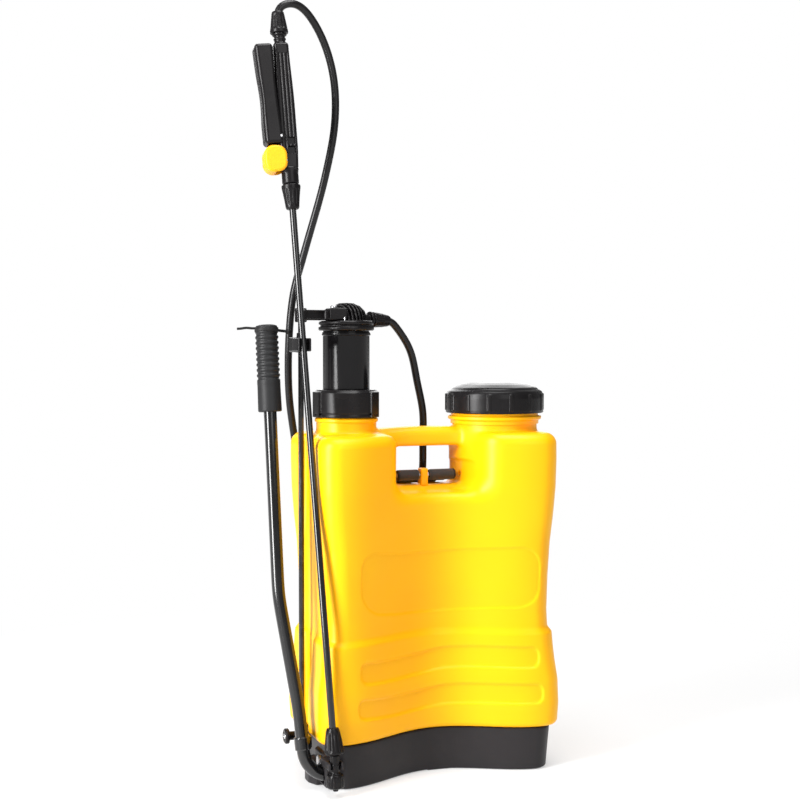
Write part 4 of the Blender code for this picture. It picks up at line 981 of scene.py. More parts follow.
def arm_field(x, y, z):
    off_x, off_y = x + 0.1655, y + 0.0065
    along = off_x * math.cos(ARM_TURN) + off_y * math.sin(ARM_TURN)
    across = -off_x * math.sin(ARM_TURN) + off_y * math.cos(ARM_TURN)
    solid = box(along, across, z, centre=(0, 0, ARM_Z), half=(0.023, 0.0064, 0.0074),
                edge=0.0016)
    # sunk panel along the bar's front face
    panel = box(along, across, z, centre=(-0.001, -0.0075, ARM_Z), half=(0.015, 0.0026, 0.0046),
                edge=0.0008)
    solid = carve(solid, panel, 0.0008)
    # block beside the chamber head, and boss round the rod
    block = box(x, y, z, centre=(-0.1365, -0.019, 0.6595), half=(0.013, 0.0118, 0.0085),
                edge=0.0022)
    solid = join(solid, block, 0.003)
    boss = cylinder(x - ROD[0], y - ROD[1], z, 0.0085, low=0.648, high=0.668, edge=0.0014)
    solid = join(solid, boss, 0.002)
    # room for the head
    room = outline_shape(away(x, y, PUMP), z, [
        (0, 0.63), (0.0404, 0.63), (0.0404, 0.6508), (0.0302, 0.651), (0.0299, 0.6562),
        (0.0268, 0.6644), (0.0202, 0.6716), (0.0107, 0.676), (0, 0.679)])
    return cut(cut(solid, room), away(x, y, ROD) - 0.0045)


moulded("Cross_Arm", BLACK_MAT, "air_chamber_unit", "cross_arm", arm_field,
        (-0.194, -0.033, 0.647), (-0.115, 0.013, 0.67), step=0.00065)
turned("Arm_Screw", STEEL_MAT, "air_chamber_unit", "arm_screw", [
    (0, 0.6683), (0.005, 0.6683), (0.005, 0.67), (0.0042, 0.6716), (0.0024, 0.6721),
    (0.0022, 0.6706), (0, 0.6706)], (-0.1405, -0.019, 0), steps=32, edge=0.0003)
# small plated pin on the arm's block
turned("Arm_Post", STEEL_MAT, "air_chamber_unit", "cross_arm", [
    (0, 0.649), (0.0009, 0.649), (0.0012, 0.6494), (0.0012, 0.6546), (0.0009, 0.655),
    (0, 0.655)], (-0.1282, -0.0316, 0), steps=24, edge=0.0003)

# ------------------------------------------------------------------ connecting rod
ROD_R = 0.0040


def rod_foot_field(x, y, z):
    solid = box(x, y, z, centre=(ROD[0], -0.0028, PIN.z + 0.003), half=(0.0023, 0.0128, 0.0138),
                edge=0.0008)
    stem = meet(away(x, y, ROD) - ROD_R, PIN.z + 0.012 - z, z - PIN.z - 0.04)
    solid = join(solid, stem, 0.003)
    # slot for the crank pin
    slot = box(x, y, z, centre=(ROD[0], PIN.y + 0.0024, PIN.z + 0.0006),
               half=(0.01, 0.0062, 0.0046), edge=0.004)
    return carve(solid, slot, 0.0004)


moulded("Pump_Rod_Foot", TUBE_MAT, "pump_rod", "connecting_rod", rod_foot_field,
        (-0.19, -0.017, PIN.z - 0.012), (-0.176, 0.012, PIN.z + 0.041), step=0.0006)
turned("Pump_Rod", TUBE_MAT, "pump_rod", "connecting_rod", [
    (0, PIN.z + 0.03), (ROD_R, PIN.z + 0.03), (ROD_R, 0.6735), (0.0032, 0.6755), (0, 0.6755)],
    (*ROD, 0), steps=40, edge=0.0004)

# ------------------------------------------------------------------ lance holder
HOLDER_Z = 0.616
HELD = LANCE_A.lerp(LANCE_B, (HOLDER_Z - LANCE_A.z) / (LANCE_B.z - LANCE_A.z))


def holder_field(x, y, z):
    off_x, off_y = x - ROD[0], y - ROD[1]
    solid = box(x, y, z, centre=(ROD[0] - 0.0078, ROD[1] - 0.01, HOLDER_Z),
                half=(0.0082, 0.018, 0.0105), edge=0.0026)
    # boss round the rod, and the smaller collar on top of it
    boss = cylinder(off_x, off_y, z, 0.0072, HOLDER_Z - 0.0105, HOLDER_Z + 0.0105, edge=0.0014)
    solid = join(solid, boss, 0.002)
    collar = cylinder(off_x, off_y, z, 0.006, HOLDER_Z + 0.008, HOLDER_Z + 0.017, edge=0.001)
    solid = join(solid, collar, 0.0015)
    # jaw round the lance, open to the front
    jaw = box(x, y, z, centre=(HELD.x + 0.0009, HELD.y + 0.0099, HOLDER_Z),
              half=(0.0096, 0.0159, 0.0095), edge=0.0022)
    solid = join(solid, jaw, 0.003)
    throat = box(x, y, z, centre=(HELD.x + 0.0013, HELD.y - 0.01, HOLDER_Z),
                 half=(0.007, 0.028, 0.03), edge=0.0055)
    solid = carve(solid, throat, 0.0012)
    hollow = box(x, y, z, centre=(ROD[0] + 0.006, ROD[1] - 0.009, HOLDER_Z),
                 half=(0.004, 0.012, 0.0065), edge=0.0015)
    solid = carve(solid, hollow, 0.0008)
    return cut(solid, away(x, y, ROD) - ROD_R)


moulded("Lance_Holder", BLACK_MAT, "pump_rod", "lance_holder", holder_field,
        (-0.212, -0.072, HOLDER_Z - 0.012), (-0.173, 0.013, HOLDER_Z + 0.019), step=0.00065)

# ------------------------------------------------------------------ lever
# corners of the bent tube, from the pivot up to the grip
LEVER_POINTS = [(-0.122, PIVOT_Y, PIVOT_Z), (-0.199, PIVOT_Y, PIVOT_Z), (-0.205, -0.06, 0.11),
                (-0.2285, -0.04, 0.268), (-0.2362, -0.0095, 0.636)]


def rounded_path(points, radius, steps=14):
    """Straight runs joined by arcs."""
    pts = [Vector(point) for point in points]
    out = [pts[0]]
    for before, bend, after in zip(pts, pts[1:], pts[2:]):
        back, ahead = (before - bend).normalized(), (after - bend).normalized()
        half = 0.5 * math.acos(max(-1.0, min(1.0, back.dot(ahead))))
        trim = min(radius / math.tan(half), 0.49 * (before - bend).length,
                   0.49 * (after - bend).length)
        arc = trim * math.tan(half)
        centre = bend + (back + ahead).normalized() * (arc / math.sin(half))
        start, end = bend + back * trim - centre, bend + ahead * trim - centre
        for i in range(steps + 1):
            part = i / steps
            arm = start.slerp(end, part) if start.angle(end) > 1e-4 else start.lerp(end, part)
            out.append(centre + arm.normalized() * arc)
    out.append(pts[-1])
    return np.array([tuple(point) for point in out])


lever_path = resample(rounded_path(LEVER_POINTS, radius=0.038), step=0.0035)
# above the crank the bends are softened further
soft = relax(lever_path.copy(), passes=30)
share = step01(lever_path[:, 2], 0.070, 0.110)[:, None]
lever_path = lever_path * (1 - share) + soft * share
finish(tube("Lever_Tube", lever_path, 0.0090, sides=36, hollow=0.0016), TUBE_MAT, "lever",
       "lever_tube")

GRIP_DIR = (Vector(LEVER_POINTS[4]) - Vector(LEVER_POINTS[3])).normalized()
GRIP_BASE = Vector(LEVER_POINTS[4]) - GRIP_DIR * 0.1140
grip_profile = [(0.0093, 0.0), (0.0154, 0.0), (0.0166, 0.0012), (0.0165, 0.009),
                (0.0161, 0.037), (0.0163, 0.04)]
for k in range(9):      # rings round the grip
    z = 0.0420 + 0.0076 * k
    grip_profile += [(0.0162, z), (0.0162, z + 0.003), (0.0148, z + 0.0038), (0.0148, z + 0.0064)]
grip_profile += [(0.016, 0.1106), (0.0158, 0.118), (0.0146, 0.1205), (0.011, 0.1218),
                 (0, 0.1222), (0, 0.1148), (0.0093, 0.1148)]
turned("Lever_Grip", GRIP_MAT, "lever", "lever_grip", grip_profile, GRIP_BASE, axis=GRIP_DIR,
       steps=72, edge=0.0009)

# the crank sits on the tube's first upright run, level with the pin
KNEE, RISE = Vector(LEVER_POINTS[1]), Vector(LEVER_POINTS[2])
SEAT = KNEE.lerp(RISE, (PIN.z - KNEE.z) / (LEVER_POINTS[2][2] - KNEE.z))
SEAT_DIR = (RISE - KNEE).normalized()


def crank_field(x, y, z):
    off, along = about_axis(x, y, z, SEAT, SEAT_DIR)
    ring = overlap(off - 0.0112, np.abs(along) - 0.009, 0.0015)
    plate = box(x, y, z, centre=(-0.1898, (PIN.y - 0.066) / 2, PIN.z),
                half=(0.002, (PIN.y + 0.066) / 2, 0.0074), edge=0.0009)
    tip = cylinder(y - PIN.y, z - PIN.z, x, 0.0078, low=-0.1918, high=-0.1878, edge=0.0008)
    solid = cut(join(join(ring, plate, 0.003), tip, 0.001), off - 0.0094)
    return cut(solid, span(y - PIN.y, z - PIN.z) - 0.0033)


moulded("Crank_Bracket", TUBE_MAT, "lever", "crank_bracket", crank_field,
        (-0.218, -0.084, 0.052), (-0.186, 0.003, 0.078), step=0.0007)
turned("Crank_Pin", STEEL_MAT, "lever", "crank_pin", [
    (0, -0.003), (0.0042, -0.003), (0.0052, -0.0022), (0.0052, -0.0003), (0.003, -0.0003),
    (0.003, 0.0138), (0.0024, 0.0145), (0, 0.0145)], (-0.1918, PIN.y, PIN.z), axis=(1, 0, 0),
    steps=32, edge=0.0003)

# ------------------------------------------------------------------ stow strap
# a rubber band round the top of the grip, with a tail, a run toward the lance and a knot
BAND_AT = GRIP_BASE + GRIP_DIR * 0.1150
BAND_R = 0.0163
# name, points from the band's centre, outward direction, width
STRAP_RUNS = (
    ("Tail", ((-0.015, 0.003, 0.002), (-0.02, 0.0034, 0.002), (-0.028, 0.003, 0.0026),
              (-0.036, 0.0028, 0.0016), (-0.0415, 0.003, 0.0012)), (0, -1, 0.1), 0.0034),
    ("Run", ((-0.0165, -0.003, 0.0016), (-0.012, -0.0125, 0.0012), (-0.001, -0.0172, 0.0004),
             (0.01, -0.0145, -0.0006), (0.0185, -0.0085, -0.0014), (0.0262, -0.005, -0.002),
             (0.03, -0.004, -0.0024)), (0, -1, 0.15), 0.0040))
KNOT = BAND_AT + Vector((0.0298, -0.0048, -0.0022))
KNOT_ROOM = Vector((0.006, 0.006, 0.006))


def build_strap_band():
    turn_to = axes_for(GRIP_DIR)
    ring = []
    for k in range(48):
        angle = 2 * math.pi * k / 48
        ring.append(tuple(BAND_AT + turn_to @ Vector((
            BAND_R * math.cos(angle), BAND_R * math.sin(angle), 0.0012 * math.sin(angle)))))
    ring = np.array(ring)
    piece = band("Stow_Strap_Band", ring, ring - np.array(BAND_AT), width=0.0034, thick=0.0011,
                 closed=True, cols=6)
    finish(piece, RUBBER_MAT, "lever", "stow_strap")


def knot_field(x, y, z):
    """Two crossed rings."""
    x, y, z = x - KNOT.x, y - KNOT.y, z - KNOT.z
    flat = np.sqrt((np.sqrt(x ** 2 + (z * 1.1) ** 2) - 0.0026) ** 2 + y ** 2) - 0.0017
    upright = np.sqrt((np.sqrt((y * 1.2) ** 2 + z ** 2) - 0.0022) ** 2
                      + (x - 0.0006) ** 2) - 0.0016
    return join(flat, upright, 0.0006)


build_strap_band()
for tag, points, up, width in STRAP_RUNS:
    strap_path = smooth_path([tuple(BAND_AT + Vector(point)) for point in points], 0.0015)
    finish(band(f"Stow_Strap_{tag}", strap_path, up, width, thick=0.0012, cols=6), RUBBER_MAT,
           "lever", "stow_strap")
moulded("Stow_Strap_Knot", RUBBER_MAT, "lever", "stow_strap", knot_field,
        tuple(KNOT - KNOT_ROOM), tuple(KNOT + KNOT_ROOM), step=0.0005, angle=None)

# ------------------------------------------------------------------ filler lid
LID_LOW = 0.5155
LID_RIBS = 14


def lid_field(x, y, z):
    off_x, off_y = x - FILL[0], y - FILL[1]
    rad, angle = span(off_x, off_y), np.arctan2(off_y, off_x)
    solid = outline_shape(rad, z, [
        (0.0664, LID_LOW), (0.0716, LID_LOW), (0.0727, LID_LOW + 0.0012), (0.0728, 0.538),
        (0.0718, 0.544), (0.07, 0.5476), (0.0664, 0.5497), (0.0648, 0.5503), (0.0636, 0.5518),
        (0.0606, 0.5534), (0.048, 0.5572), (0.034, 0.5598), (0.017, 0.5612), (0, 0.5616),
        (0, 0.5482), (0.0664, 0.548)])
    # ribs round the skirt
    turn = np.mod(angle * LID_RIBS / (2 * math.pi) + 0.15, 1.0) - 0.5
    across = turn * (2 * math.pi / LID_RIBS) * rad
    top = 0.544 - 0.0016 * np.abs(across) / 0.004
    rib = meet(np.abs(across) - 0.0026, rad - 0.0739, 0.0705 - rad, LID_LOW + 0.004 - z, z - top)
    solid = join(solid, rib, 0.0014)
    # fine groove near the foot of the skirt
    return carve(solid, span(rad - 0.0736, z - LID_LOW - 0.0024) - 0.0011, 0.0006)


moulded("Filler_Lid", BLACK_MAT, "lid", "filler_lid", lid_field, (0.0415, -0.0745, LID_LOW),
        (0.1905, 0.0745, 0.5618), step=0.0010)


# ------------------------------------------------------------------ lance and its nuts
def ribbed(ribs, depth, low, high, beyond):
    """Flute that sinks between the ribs, from low to high and outside a radius."""
    def flute(angle, z, radius):
        if low < z < high and radius > beyond:
            fade = min(1.0, (z - low) / 0.002, (high - z) / 0.002)
            return radius - depth * fade * (0.5 - 0.5 * math.cos(ribs * angle)) ** 2
        return radius
    return flute


lance_path = np.array([tuple(LANCE_A - LANCE_DIR * 0.028 + LANCE_DIR * run) for run in
                       np.linspace(0, (LANCE_B - LANCE_A).length + 0.048, 60)])
finish(tube("Lance_Tube", lance_path, 0.0048, sides=32, hollow=0.0012), TUBE_MAT, "lance",
       "lance_tube")

NOZZLE = LANCE_A - LANCE_DIR * 0.0372
NOZZLE_DIR = Vector((LANCE_DIR.x * 0.4, LANCE_DIR.y * 0.4, 1)).normalized()
on_lance_foot = dict(at=LANCE_A, axis=LANCE_DIR)
on_nozzle = dict(at=NOZZLE, axis=NOZZLE_DIR)
on_handle = dict(at=LANCE_B, axis=LANCE_DIR)
turned("Nozzle_Nut", BLACK_MAT, "lance", "nozzle_nut", [
    (0.0051, -0.036), (0.012, -0.036), (0.0132, -0.035), (0.0134, -0.032), (0.013, -0.029),
    (0.0116, -0.017), (0.0096, -0.005), (0.008, -0.0008), (0.0051, 0.0)], steps=84, edge=0.0007,
    flute=ribbed(14, depth=0.0009, low=-0.033, high=-0.006, beyond=0.006), **on_lance_foot)
turned("Nozzle_Body", BLACK_MAT, "lance", "nozzle_body", [
    (0.002, -0.033), (0.0085, -0.033), (0.0085, -0.025), (0.007, -0.024), (0.0064, -0.0225),
    (0.0066, -0.016), (0.0072, -0.015), (0.0072, -0.013), (0.0066, -0.012), (0.007, -0.0008),
    (0.0064, 0.0), (0.002, 0.0)], steps=60, edge=0.0005, **on_nozzle)
turned("Nozzle_Cap", BLACK_MAT, "nozzle", "nozzle_cap", [
    (0.001, -0.0495), (0.003, -0.0495), (0.0036, -0.0488), (0.0038, -0.0462),
    (0.0078, -0.0456), (0.0108, -0.0446), (0.0124, -0.0428), (0.0126, -0.036),
    (0.0122, -0.031), (0.0114, -0.0272), (0.0108, -0.0262), (0.0089, -0.0262),
    (0.0089, -0.035), (0.001, -0.035)], steps=84, edge=0.0006,
    flute=ribbed(16, depth=0.0008, low=-0.043, high=-0.029, beyond=0.0105), **on_nozzle)
turned("Lance_Nut", BLACK_MAT, "lance", "lance_nut", [
    (0.0051, -0.001), (0.008, -0.001), (0.009, 0.0), (0.0096, 0.002), (0.0112, 0.015),
    (0.013, 0.027), (0.0133, 0.0295), (0.0133, 0.0322), (0.0124, 0.033), (0.0051, 0.033)],
    steps=84, edge=0.0006,
    flute=ribbed(12, depth=0.001, low=0.004, high=0.027, beyond=0.007), **on_handle)
turned("Hose_Nut", BLACK_MAT, "lance", "hose_nut", [
    (0.0066, 0.2475), (0.012, 0.2475), (0.0128, 0.2484), (0.0128, 0.252), (0.012, 0.256),
    (0.0106, 0.266), (0.009, 0.276), (0.0082, 0.2786), (0.0066, 0.279)], steps=84, edge=0.0006,
    flute=ribbed(12, depth=0.0009, low=0.252, high=0.274, beyond=0.008), **on_handle)

# ------------------------------------------------------------------ valve handle
# Its own axes start at LANCE_B: out toward -X, across, and along the lance.
toward_x = Vector((-1.0, 0.10, 0.0))
HANDLE_OUT = (toward_x - LANCE_DIR * toward_x.dot(LANCE_DIR)).normalized()
HANDLE_ACROSS = LANCE_DIR.cross(HANDLE_OUT)
TRIGGER_OUT, TRIGGER_ALONG = 0.0105, 0.1    # pins of the squeeze lever and of the latch
LATCH_OUT, LATCH_ALONG = 0.006, 0.066
SQUEEZE_TILT = math.radians(2.4)


def handle_place(verts):
    axes = np.stack([np.array(HANDLE_OUT), np.array(HANDLE_ACROSS), np.array(LANCE_DIR)])
    return np.array(LANCE_B) + verts @ axes


def handle_field(out, across, along):
    half = (0.013 - 0.0022 * step01(along, 0.14, 0.23)
            - 0.0016 * step01(-along, -0.09, -0.05))
    deep = 0.011 - 0.001 * step01(along, 0.14, 0.23)
    solid = corner(np.abs(out) - (half - 0.005), np.abs(across) - (deep - 0.005),
                   np.abs(along - 0.1415) - (0.0925 - 0.005)) - 0.005
    # long grooves on the two broad faces and on the rounded back
    for offset in (-0.0062, -0.001, 0.0042):
        groove = span(out - offset, np.abs(across) - deep - 0.0002) - 0.0014
        solid = carve(solid, meet(groove, 0.075 - along, along - 0.218), 0.0008)
    for offset in (-0.005, 0.0, 0.005):
        groove = span(across - offset, out + half + 0.0003) - 0.0014
        solid = carve(solid, meet(groove, 0.062 - along, along - 0.222), 0.0008)
    # moulded hollows across the body near the hinge
    for low, high in ((0.076, 0.086), (0.0895, 0.0985)):
        hollow = meet(np.abs(out + 0.004) - 0.005, 0.0062 - np.abs(across), low - along,
                      along - high)
        solid = carve(solid, hollow, 0.0012)
    # rings round the foot of the body
    for ring in (0.052, 0.056):
        solid = carve(solid, np.maximum(-solid - 0.0007, np.abs(along - ring) - 0.0008), 0.0006)
    # round foot and neck
    rad = span(out, across)
    foot = outline_shape(rad, along, [(0, 0.034), (0.0106, 0.034), (0.0118, 0.0356),
                                      (0.0118, 0.056), (0, 0.056)])
    solid = join(solid, foot, 0.002)
    neck = outline_shape(rad, along, [
        (0, 0.228), (0.008, 0.228), (0.0078, 0.2376), (0.0088, 0.2384), (0.0088, 0.24),
        (0.0078, 0.2408), (0.0078, 0.2434), (0.01, 0.2446), (0.01, 0.247), (0, 0.247)])
    solid = join(solid, neck, 0.0015)
    boss = span(out - TRIGGER_OUT, along - TRIGGER_ALONG)
    solid = join(solid, np.maximum(boss - 0.0052, np.abs(across) - 0.011), 0.0012)
    # bore, side pocket and pin holes
    solid = cut(solid, np.maximum(rad - 0.003, 0.02 - along))
    solid = cut(solid, np.maximum(span(across, along - 0.122) - 0.0045, -0.008 - out))
    solid = cut(solid, boss - 0.0022)
    return cut(solid, span(out - LATCH_OUT, along - LATCH_ALONG) - 0.0022)


def squeeze_field(out, across, along):
    off_out, off_along = out - 0.0228, along - 0.161
    # the block leans from the handle's own axes
    wide = off_out * math.cos(SQUEEZE_TILT) - off_along * math.sin(SQUEEZE_TILT)
    tall = off_out * math.sin(SQUEEZE_TILT) + off_along * math.cos(SQUEEZE_TILT)
    # outer shell, a little waisted along its length, flat at the top
    half = 0.013 - 0.0012 * np.cos(np.clip(tall / 0.07, -1, 1) * math.pi) * 0.5 - 0.0006
    waist = np.cos(np.clip((tall + 0.07) / 0.14, 0, 1) * 2 * math.pi)
    deep = 0.015 - 0.0008 * (0.5 - 0.5 * waist)
    solid = corner(np.abs(wide) - (half - 0.0058), np.abs(across) - (deep - 0.0058),
                   np.abs(tall + 0.0008) - (0.071 - 0.0058)) - 0.0058
    # channel that takes the handle
    room = meet(-0.018 - (wide + 0.004), wide + 0.004 - 0.0128, np.abs(across) - 0.0118)
    solid = carve(solid, room, 0.0008)
    # long shallow hollow for the fingers
    solid = carve(solid, span(wide - 0.166, tall + 0.006) - 0.1545, 0.004)
    return cut(solid, span(out - TRIGGER_OUT, along - TRIGGER_ALONG) - 0.0021)


def latch_field(out, across, along):
    # rounded oval plate seen from the side, with softly rounded rims
    oval = corner(np.abs(out - 0.01975) - (0.0161 - 0.014),
                  np.abs(along - 0.0688) - (0.01915 - 0.014)) - 0.014
    solid = corner(oval + 0.0045, np.abs(across) - 0.01445 + 0.0045) - 0.0045
    solid = carve(solid, np.maximum(np.abs(across) - 0.0118, out - 0.0205), 0.0008)
    hole = span(out - LATCH_OUT, along - LATCH_ALONG) - 0.0022
    return cut(solid, np.maximum(hole, np.abs(across) - 0.0128))


moulded("Valve_Handle_Body", BLACK_MAT, "lance", "handle_body", handle_field,
        (-0.0145, -0.0125, 0.033), (0.017, 0.0125, 0.248), step=0.00062, place=handle_place)
moulded("Squeeze_Lever", BLACK_MAT, "trigger", "squeeze_lever", squeeze_field,
        (0.004, -0.0155, 0.089), (0.042, 0.0155, 0.2335), step=0.0007, place=handle_place)
moulded("Thumb_Latch", TRIM_MAT, "latch", "thumb_latch", latch_field,
        (0.003, -0.015, 0.049), (0.0365, 0.015, 0.0885), step=0.0006, place=handle_place)
for name, out, along, half in (("Trigger_Pin", TRIGGER_OUT, TRIGGER_ALONG, 0.0146),
                               ("Latch_Pin", LATCH_OUT, LATCH_ALONG, 0.0125)):
    turned(name, STEEL_MAT, "lance", name.lower(),
           [(0, -half), (0.0019, -half), (0.0019, half), (0, half)],
           LANCE_B + LANCE_DIR * along + HANDLE_OUT * out, axis=HANDLE_ACROSS, steps=28,
           edge=0.0004)

# ------------------------------------------------------------------ hoses
HOSE_R, HOSE_WALL = 0.0055, 0.0018
HOSE_JOIN = (-0.163, 0.052, 0.75)       # where the lance run goes over to the tank run
PUMP_JOIN = (0.016, 0.0405, 0.426)      # where the pump run goes over to the tank run
BACK_JOIN = (-0.001, 0.108, 0.356)      # where the tank run meets the pump path behind the tank
hose_top = LANCE_B + LANCE_DIR * 0.2500
hose_out = OUTLET + OUTLET_DIR * 0.0460
LANCE_HOSE = [
    tuple(hose_top), tuple(hose_top + LANCE_DIR * 0.018), tuple(hose_top + LANCE_DIR * 0.034),
    (-0.201, 0.0, 1.095), (-0.179, 0.008, 1.093), (-0.15, 0.015, 1.06), (-0.129, 0.02, 1.005),
    (-0.124, 0.026, 0.94), (-0.136, 0.035, 0.86), HOSE_JOIN, (-0.176, 0.065, 0.69)]
TANK_HOSE = [
    (-0.136, 0.035, 0.86), HOSE_JOIN, (-0.176, 0.065, 0.69), (-0.18, 0.076, 0.62),
    (-0.175, 0.093, 0.54), (-0.161, 0.106, 0.46), (-0.152, 0.108, 0.38), (-0.143, 0.108, 0.28),
    (-0.115, 0.108, 0.2), (-0.065, 0.108, 0.17), (-0.02, 0.108, 0.22), (-0.003, 0.108, 0.32),
    (-0.001, 0.105, 0.39), (-0.001, 0.1, 0.435), (0.006, 0.085, 0.464), (0.016, 0.062, 0.473),
    (0.018, 0.048, 0.485)]
# from the pressure outlet down through the handle opening and out at the back
PUMP_HOSE = [
    tuple(hose_out), tuple(hose_out + OUTLET_DIR * 0.016), tuple(hose_out + OUTLET_DIR * 0.030),
    (-0.03, 0.023, 0.64), (-0.006, 0.033, 0.608), (0.008, 0.04, 0.56), (0.017, 0.04, 0.515),
    (0.0165, 0.0385, 0.47), (0.0165, 0.0385, 0.445), (0.0163, 0.04, 0.428),
    (0.015, 0.047, 0.4155), (0.011, 0.066, 0.4105), (0.004, 0.085, 0.4105),
    (-0.0005, 0.102, 0.403), (-0.001, 0.108, 0.384), (-0.001, 0.108, 0.345)]


def nearest(path, point):
    return int(np.argmin(np.linalg.norm(path - np.array(point), axis=1)))


def build_hose(tag, path, body):
    piece = tube(f"Hose_{tag}_Side", path, HOSE_R, sides=24, hollow=HOSE_WALL)
    return finish(piece, HOSE_MAT, body, f"hose_{tag.lower()}_side")


lance_path = smooth_path(LANCE_HOSE, 0.0040, passes=3)
tank_path = smooth_path(TANK_HOSE, 0.0040, passes=3)
pump_path = smooth_path(PUMP_HOSE, 0.0036, passes=3)
tank_start = nearest(tank_path, HOSE_JOIN)
pump_end, back_end = nearest(pump_path, PUMP_JOIN), nearest(pump_path, BACK_JOIN)
tank_end = nearest(tank_path, pump_path[back_end])
lance_run = np.concatenate([lance_path[:nearest(lance_path, HOSE_JOIN)],
                            tank_path[tank_start:tank_start + 6]])
tank_run = np.concatenate([tank_path[tank_start + 5:tank_end],
                           pump_path[pump_end:back_end + 1][::-1]])
lance_hose = build_hose("Lance", resample(lance_run, 0.0040, passes=6), None)
build_hose("Tank", resample(tank_run, 0.0040, passes=6), "tank_unit")
pump_hose = build_hose("Pump", resample(pump_path[:pump_end + 1], 0.0036, passes=2), None)
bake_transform(lance_hose)
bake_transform(pump_hose)

# ------------------------------------------------------------------ strap bar and its loops
turned("Strap_Bar", STEEL_MAT, "tank_unit", "strap_bar", [
    (0, -0.0405), (0.0034, -0.0405), (0.004, -0.0398), (0.004, 0.0488), (0.0034, 0.0495),
    (0, 0.0495)], BAR_AT, axis=(1, 0, 0), steps=36, edge=0.0003)


def build_loop(tag, middle, half, steps=40, radius=0.0066):
    """Webbing wound round the bar."""
    path, up = [], []
    for k in range(steps):
        angle = -0.3 + 2 * math.pi * k / steps
        path.append((middle, BAR_AT[1] + radius * math.cos(angle),
                     BAR_AT[2] + radius * math.sin(angle)))
        up.append((0, math.cos(angle), math.sin(angle)))
    piece = band(f"Webbing_Loop_{tag}", np.array(path), np.array(up), width=half * 2,
                 thick=0.0026, closed=True, cols=16)
    finish(piece, WEB_MAT, "tank_unit", "strap_loop_" + tag.lower())


build_loop("Left", middle=-0.0250, half=0.0150)
build_loop("Right", middle=0.0262, half=0.0194)
# rolled outer ends of the loops
for tag, end_x, side in (("Left", -0.0404, -1), ("Right", 0.0452, 1)):
    turned(f"Webbing_Loop_End_{tag}", RUBBER_MAT, "tank_unit", "strap_loop_" + tag.lower(), [
        (0.0043, -0.001), (0.0078, -0.0012), (0.0079, 0.0004), (0.0074, 0.0018),
        (0.006, 0.0026), (0.0043, 0.0028)], (end_x, *BAR_AT[1:]), axis=(side, 0, 0), steps=40,
        edge=0.0006, slot="webbing")

# ------------------------------------------------------------------ shoulder straps
PAD_WIDTH = 0.0470
PUFF_LIMIT = 0.0034     # how far the air may push the pad's skin


def strap_line(side):
    """Path of a shoulder strap from the bar to the base, and its outward directions."""
    start = side * 0.0205 - (0.002 if side < 0 else 0.0)
    path = smooth_path([
        (start, -0.002, 0.4178), (start, 0.025, 0.4165), (start, 0.048, 0.4062),
        (start + side * 0.002, 0.098, 0.4085), (start + side * 0.014, 0.127, 0.384),
        (start + side * 0.026, 0.133, 0.33), (start + side * 0.04, 0.133, 0.26),
        (start + side * 0.054, 0.133, 0.2), (start + side * 0.068, 0.13, 0.16),
        (side * 0.13, 0.12, 0.106), (side * 0.125, 0.1, 0.062)], 0.0030, passes=4)
    ahead = tangents(path)
    across = unit_rows(np.array((1.0, 0, 0)) - ahead * ahead[:, :1])
    up = np.cross(across, ahead)
    up *= np.sign(up[:, 1:2] + up[:, 2:3] * 0.3)
    return path, up


def evaluated_mesh(obj):
    depsgraph = bpy.context.evaluated_depsgraph_get()
    return bpy.data.meshes.new_from_object(obj.evaluated_get(depsgraph))


def vertex_places(mesh):
    flat = np.empty(len(mesh.vertices) * 3)
    mesh.vertices.foreach_get("co", flat)
    return flat.reshape(-1, 3)


def inflate(obj, rest):
    """Blow the pad up as a cloth balloon and return where its vertices come to rest."""
    cloth = obj.modifiers.new("air", "CLOTH")
    settings = cloth.settings
    settings.use_pressure = True
    settings.uniform_pressure_force = 4.0
    settings.effector_weights.gravity = 0.0
    settings.quality = 6
    settings.mass = 0.25
    settings.tension_stiffness = settings.compression_stiffness = 40
    settings.bending_stiffness = 0.6
    cloth.point_cache.frame_start, cloth.point_cache.frame_end = 1, 20
    for frame_number in range(1, 21):
        scene.frame_set(frame_number)
    move = vertex_places(evaluated_mesh(obj)) - rest
    obj.modifiers.clear()
    scene.frame_set(1)
    size = np.linalg.norm(move, axis=1)
    move *= np.minimum(1.0, PUFF_LIMIT / np.maximum(size, 1e-9))[:, None]
    return rest + move


def quilt(rest, path, up):
    """Press stitched channels and an edge seam into the pad, with puckers beside them."""
    near = ((rest[:, None, :] - path[None, :, :]) ** 2).sum(2).argmin(1)
    total = np.linalg.norm(np.diff(path, axis=0), axis=1).sum()
    along = near / (len(path) - 1) * total
    offset = rest - path[near]
    across = (offset * unit_rows(np.cross(up, tangents(path)))[near]).sum(1)
    height = (offset * up[near]).sum(1)
    dip = np.zeros(len(rest))
    for channel in (-0.0110, 0.0110):
        dip += 0.0011 * np.exp(-((across - channel) / 0.0016) ** 2)
    dip += 0.0007 * np.exp(-((np.abs(across) - 0.0190) / 0.0014) ** 2)
    pucker = (0.00022 * np.sin(along * 2 * math.pi / 0.0052)
              * np.exp(-((np.abs(across) - 0.0110) / 0.0030) ** 2))
    press = np.sign(height) * np.minimum(np.abs(height) * 0.7, dip) + pucker * np.sign(height)
    return rest - up[near] * press[:, None]


